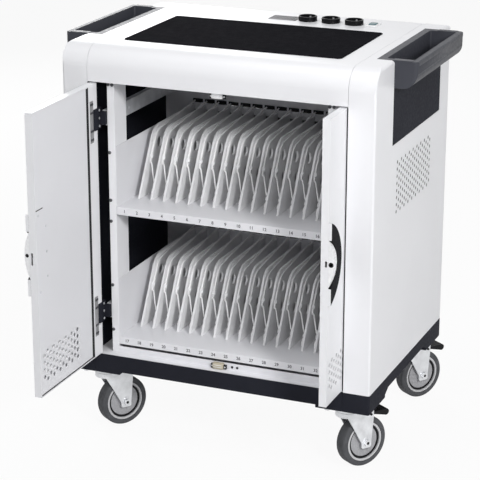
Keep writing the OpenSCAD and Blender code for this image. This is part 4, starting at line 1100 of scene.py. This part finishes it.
(x0, x1), (y0, y1) = LOUVRE_X, LOUVRE_Y
walls = [(LOUVRE_X, (y0, y0 + LOUVRE_WALL)), (LOUVRE_X, (y1 - LOUVRE_WALL, y1)),
         ((x0, x0 + LOUVRE_WALL), LOUVRE_Y), ((x1 - LOUVRE_WALL, x1), LOUVRE_Y)]
add_blocks("louvre_frame", [top_box(xs, ys, LOUVRE_FRAME_Z) for xs, ys in walls], "cabinet",
           "wheel_plastic", LOUVRE_GREY, edge=0.5)
well = top_box((x0 + WELL_INSET, x1 - WELL_INSET), (y0 + WELL_INSET, y1 - WELL_INSET), WELL_Z)
add_blocks("louvre_well", [well], "cabinet", "black_plastic")
spots = [((x0 + SLAT_FIRST + SLAT_PITCH * k, (y0 + y1) / 2, BODY_TOP + SLAT_Z), UP) for k in range(SLATS)]
add_bars("louvre_slats", spots, SLAT_SIZE, "cabinet", "wheel_plastic", LOUVRE_GREY)
add_lamp_block("pilot_plate", PILOT_PLATE_HALF, PILOT_PLATE_Z, "boss_plastic", None, 0.9, 2)
add_lamp_block("pilot_lens", PILOT_LENS_HALF, PILOT_LENS_Z, "wheel_plastic", PILOT_GLASS, 2.2, 4)


# Painted shade behind the side vents: a black sheet with low cones rising into the vent holes

for side, name in SIDE_NAME.items():
    shade_box = [(side * x, y, z) for x, y, z in zip(VENT_SHADE_X, VENT_SHADE_Y, VENT_SHADE_Z)]
    add_blocks(name + "_vent_shade_sheet", [shade_box], "cabinet", "black_plastic", edge=0.2)
    spots = []
    for column in range(VENT_COLUMNS):
        for row in range(VENT_ROWS):
            y = column * VENT_STEP + VENT_FIRST_Y
            z = (row + column % 2 / 2) * VENT_PITCH + VENT_FIRST_Z
            spots.append(((side * DIMPLE_X, y, z), (side, 0, 0)))
    piece = name + "_vent_shade_cones"
    dimples = DIMPLES.grow(piece, point_mesh(piece + "_spots", spots), FINISH["black_plastic"],
                           width=DIMPLE_W, rise=DIMPLE_RISE)
    add_piece(piece, dimples, "cabinet", "black_plastic")


# Casters

def caster_place(corner):
    """From a caster's own frame to the cabinet's."""
    return Matrix.Translation(at(*CASTERS[corner], 0)) @ Matrix.Rotation(CASTER_TURN, 4, "Z")


def add_rings(name, corner, body, slot, profile, finish=None):
    """Turned rings on both sides of a caster's wheel."""
    bm = bmesh.new()
    for way in (-1, 1):
        add_turned(bm, profile + profile[:1], WHEEL_AT, (0, way, 0), RING_STEPS)
    mesh = to_mesh(bm, name)
    mesh.transform(caster_place(corner))
    add_piece(name, mesh, body, slot, finish)


for corner, side in CASTER_SIDE.items():
    wheel, fork = side + "_wheel", side + "_caster"
    # Painted shade in the wheel grooves
    add_rings("groove_shade_rings_" + corner, corner, wheel, "black_plastic", GROOVE_SHADE_RING)
    add_rings("rim_highlight_bands_" + corner, corner, wheel, "wheel_plastic", RIM_HIGHLIGHT_BAND, RIM_HIGHLIGHT_NYLON)
    add_rings("tyre_seams_" + corner, corner, wheel, "black_plastic", TYRE_SEAM)
    add_rings("axle_washers_" + corner, corner, fork, "zinc_steel", AXLE_WASHER)
    add_rings("axle_sockets_" + corner, corner, fork, "black_plastic", AXLE_SOCKET)

spots = [((x + dx, y + dy, PLATE_BOLT_Z), DOWN)
         for x, y in CASTERS.values() for dx in PLATE_BOLT_DX for dy in PLATE_BOLT_DY]
bolts = BOLTS.grow("plate_bolts", point_mesh("plate_bolt_spots", spots), FINISH["zinc_steel"],
                   across=PLATE_BOLT_ACROSS, head_height=PLATE_BOLT_H)
add_piece("plate_bolts", bolts, "cabinet", "zinc_steel")

(u0, z0), (u1, z1) = PEDAL_TOP
spots = [((u0 + (u1 - u0) * k / PEDAL_RIB_STEPS, 0, z0 + (z1 - z0) * k / PEDAL_RIB_STEPS), UP)
         for k in range(PEDAL_RIB_STEPS + 1)]
for corner in ("fr", "rr"):
    add_bars("pedal_ribs_" + corner, spots, PEDAL_RIB_SIZE, CASTER_SIDE[corner] + "_pedal", "black_plastic",
             place=caster_place(corner))


# Rear inlet and hinge arms

inlet_x, inlet_z = INLET_AT
pins = [((inlet_x - INLET_PIN_HALF_W + dx, INLET_PIN_Y[0], inlet_z - INLET_PIN_HALF_H + dz),
         (inlet_x + INLET_PIN_HALF_W + dx, INLET_PIN_Y[1], inlet_z + INLET_PIN_HALF_H + dz))
        for dx, dz in INLET_PINS]
add_blocks("inlet_pins", pins, "cabinet", "zinc_steel", edge=0.4)

for side, name in SIDE_NAME.items():
    arm_x, arm_y = side * (PIVOT_X - ARM_HALF), PIVOT_Y[side] + ARM_SCREW_Y
    spots = [((arm_x, arm_y, z + dz), (-side, 0, 0)) for z in RUNNER_Z for dz in ARM_SCREW_DZ]
    add_screws(name + "_arm_screws", spots, ARM_BODY[side], SMALL_HEAD)
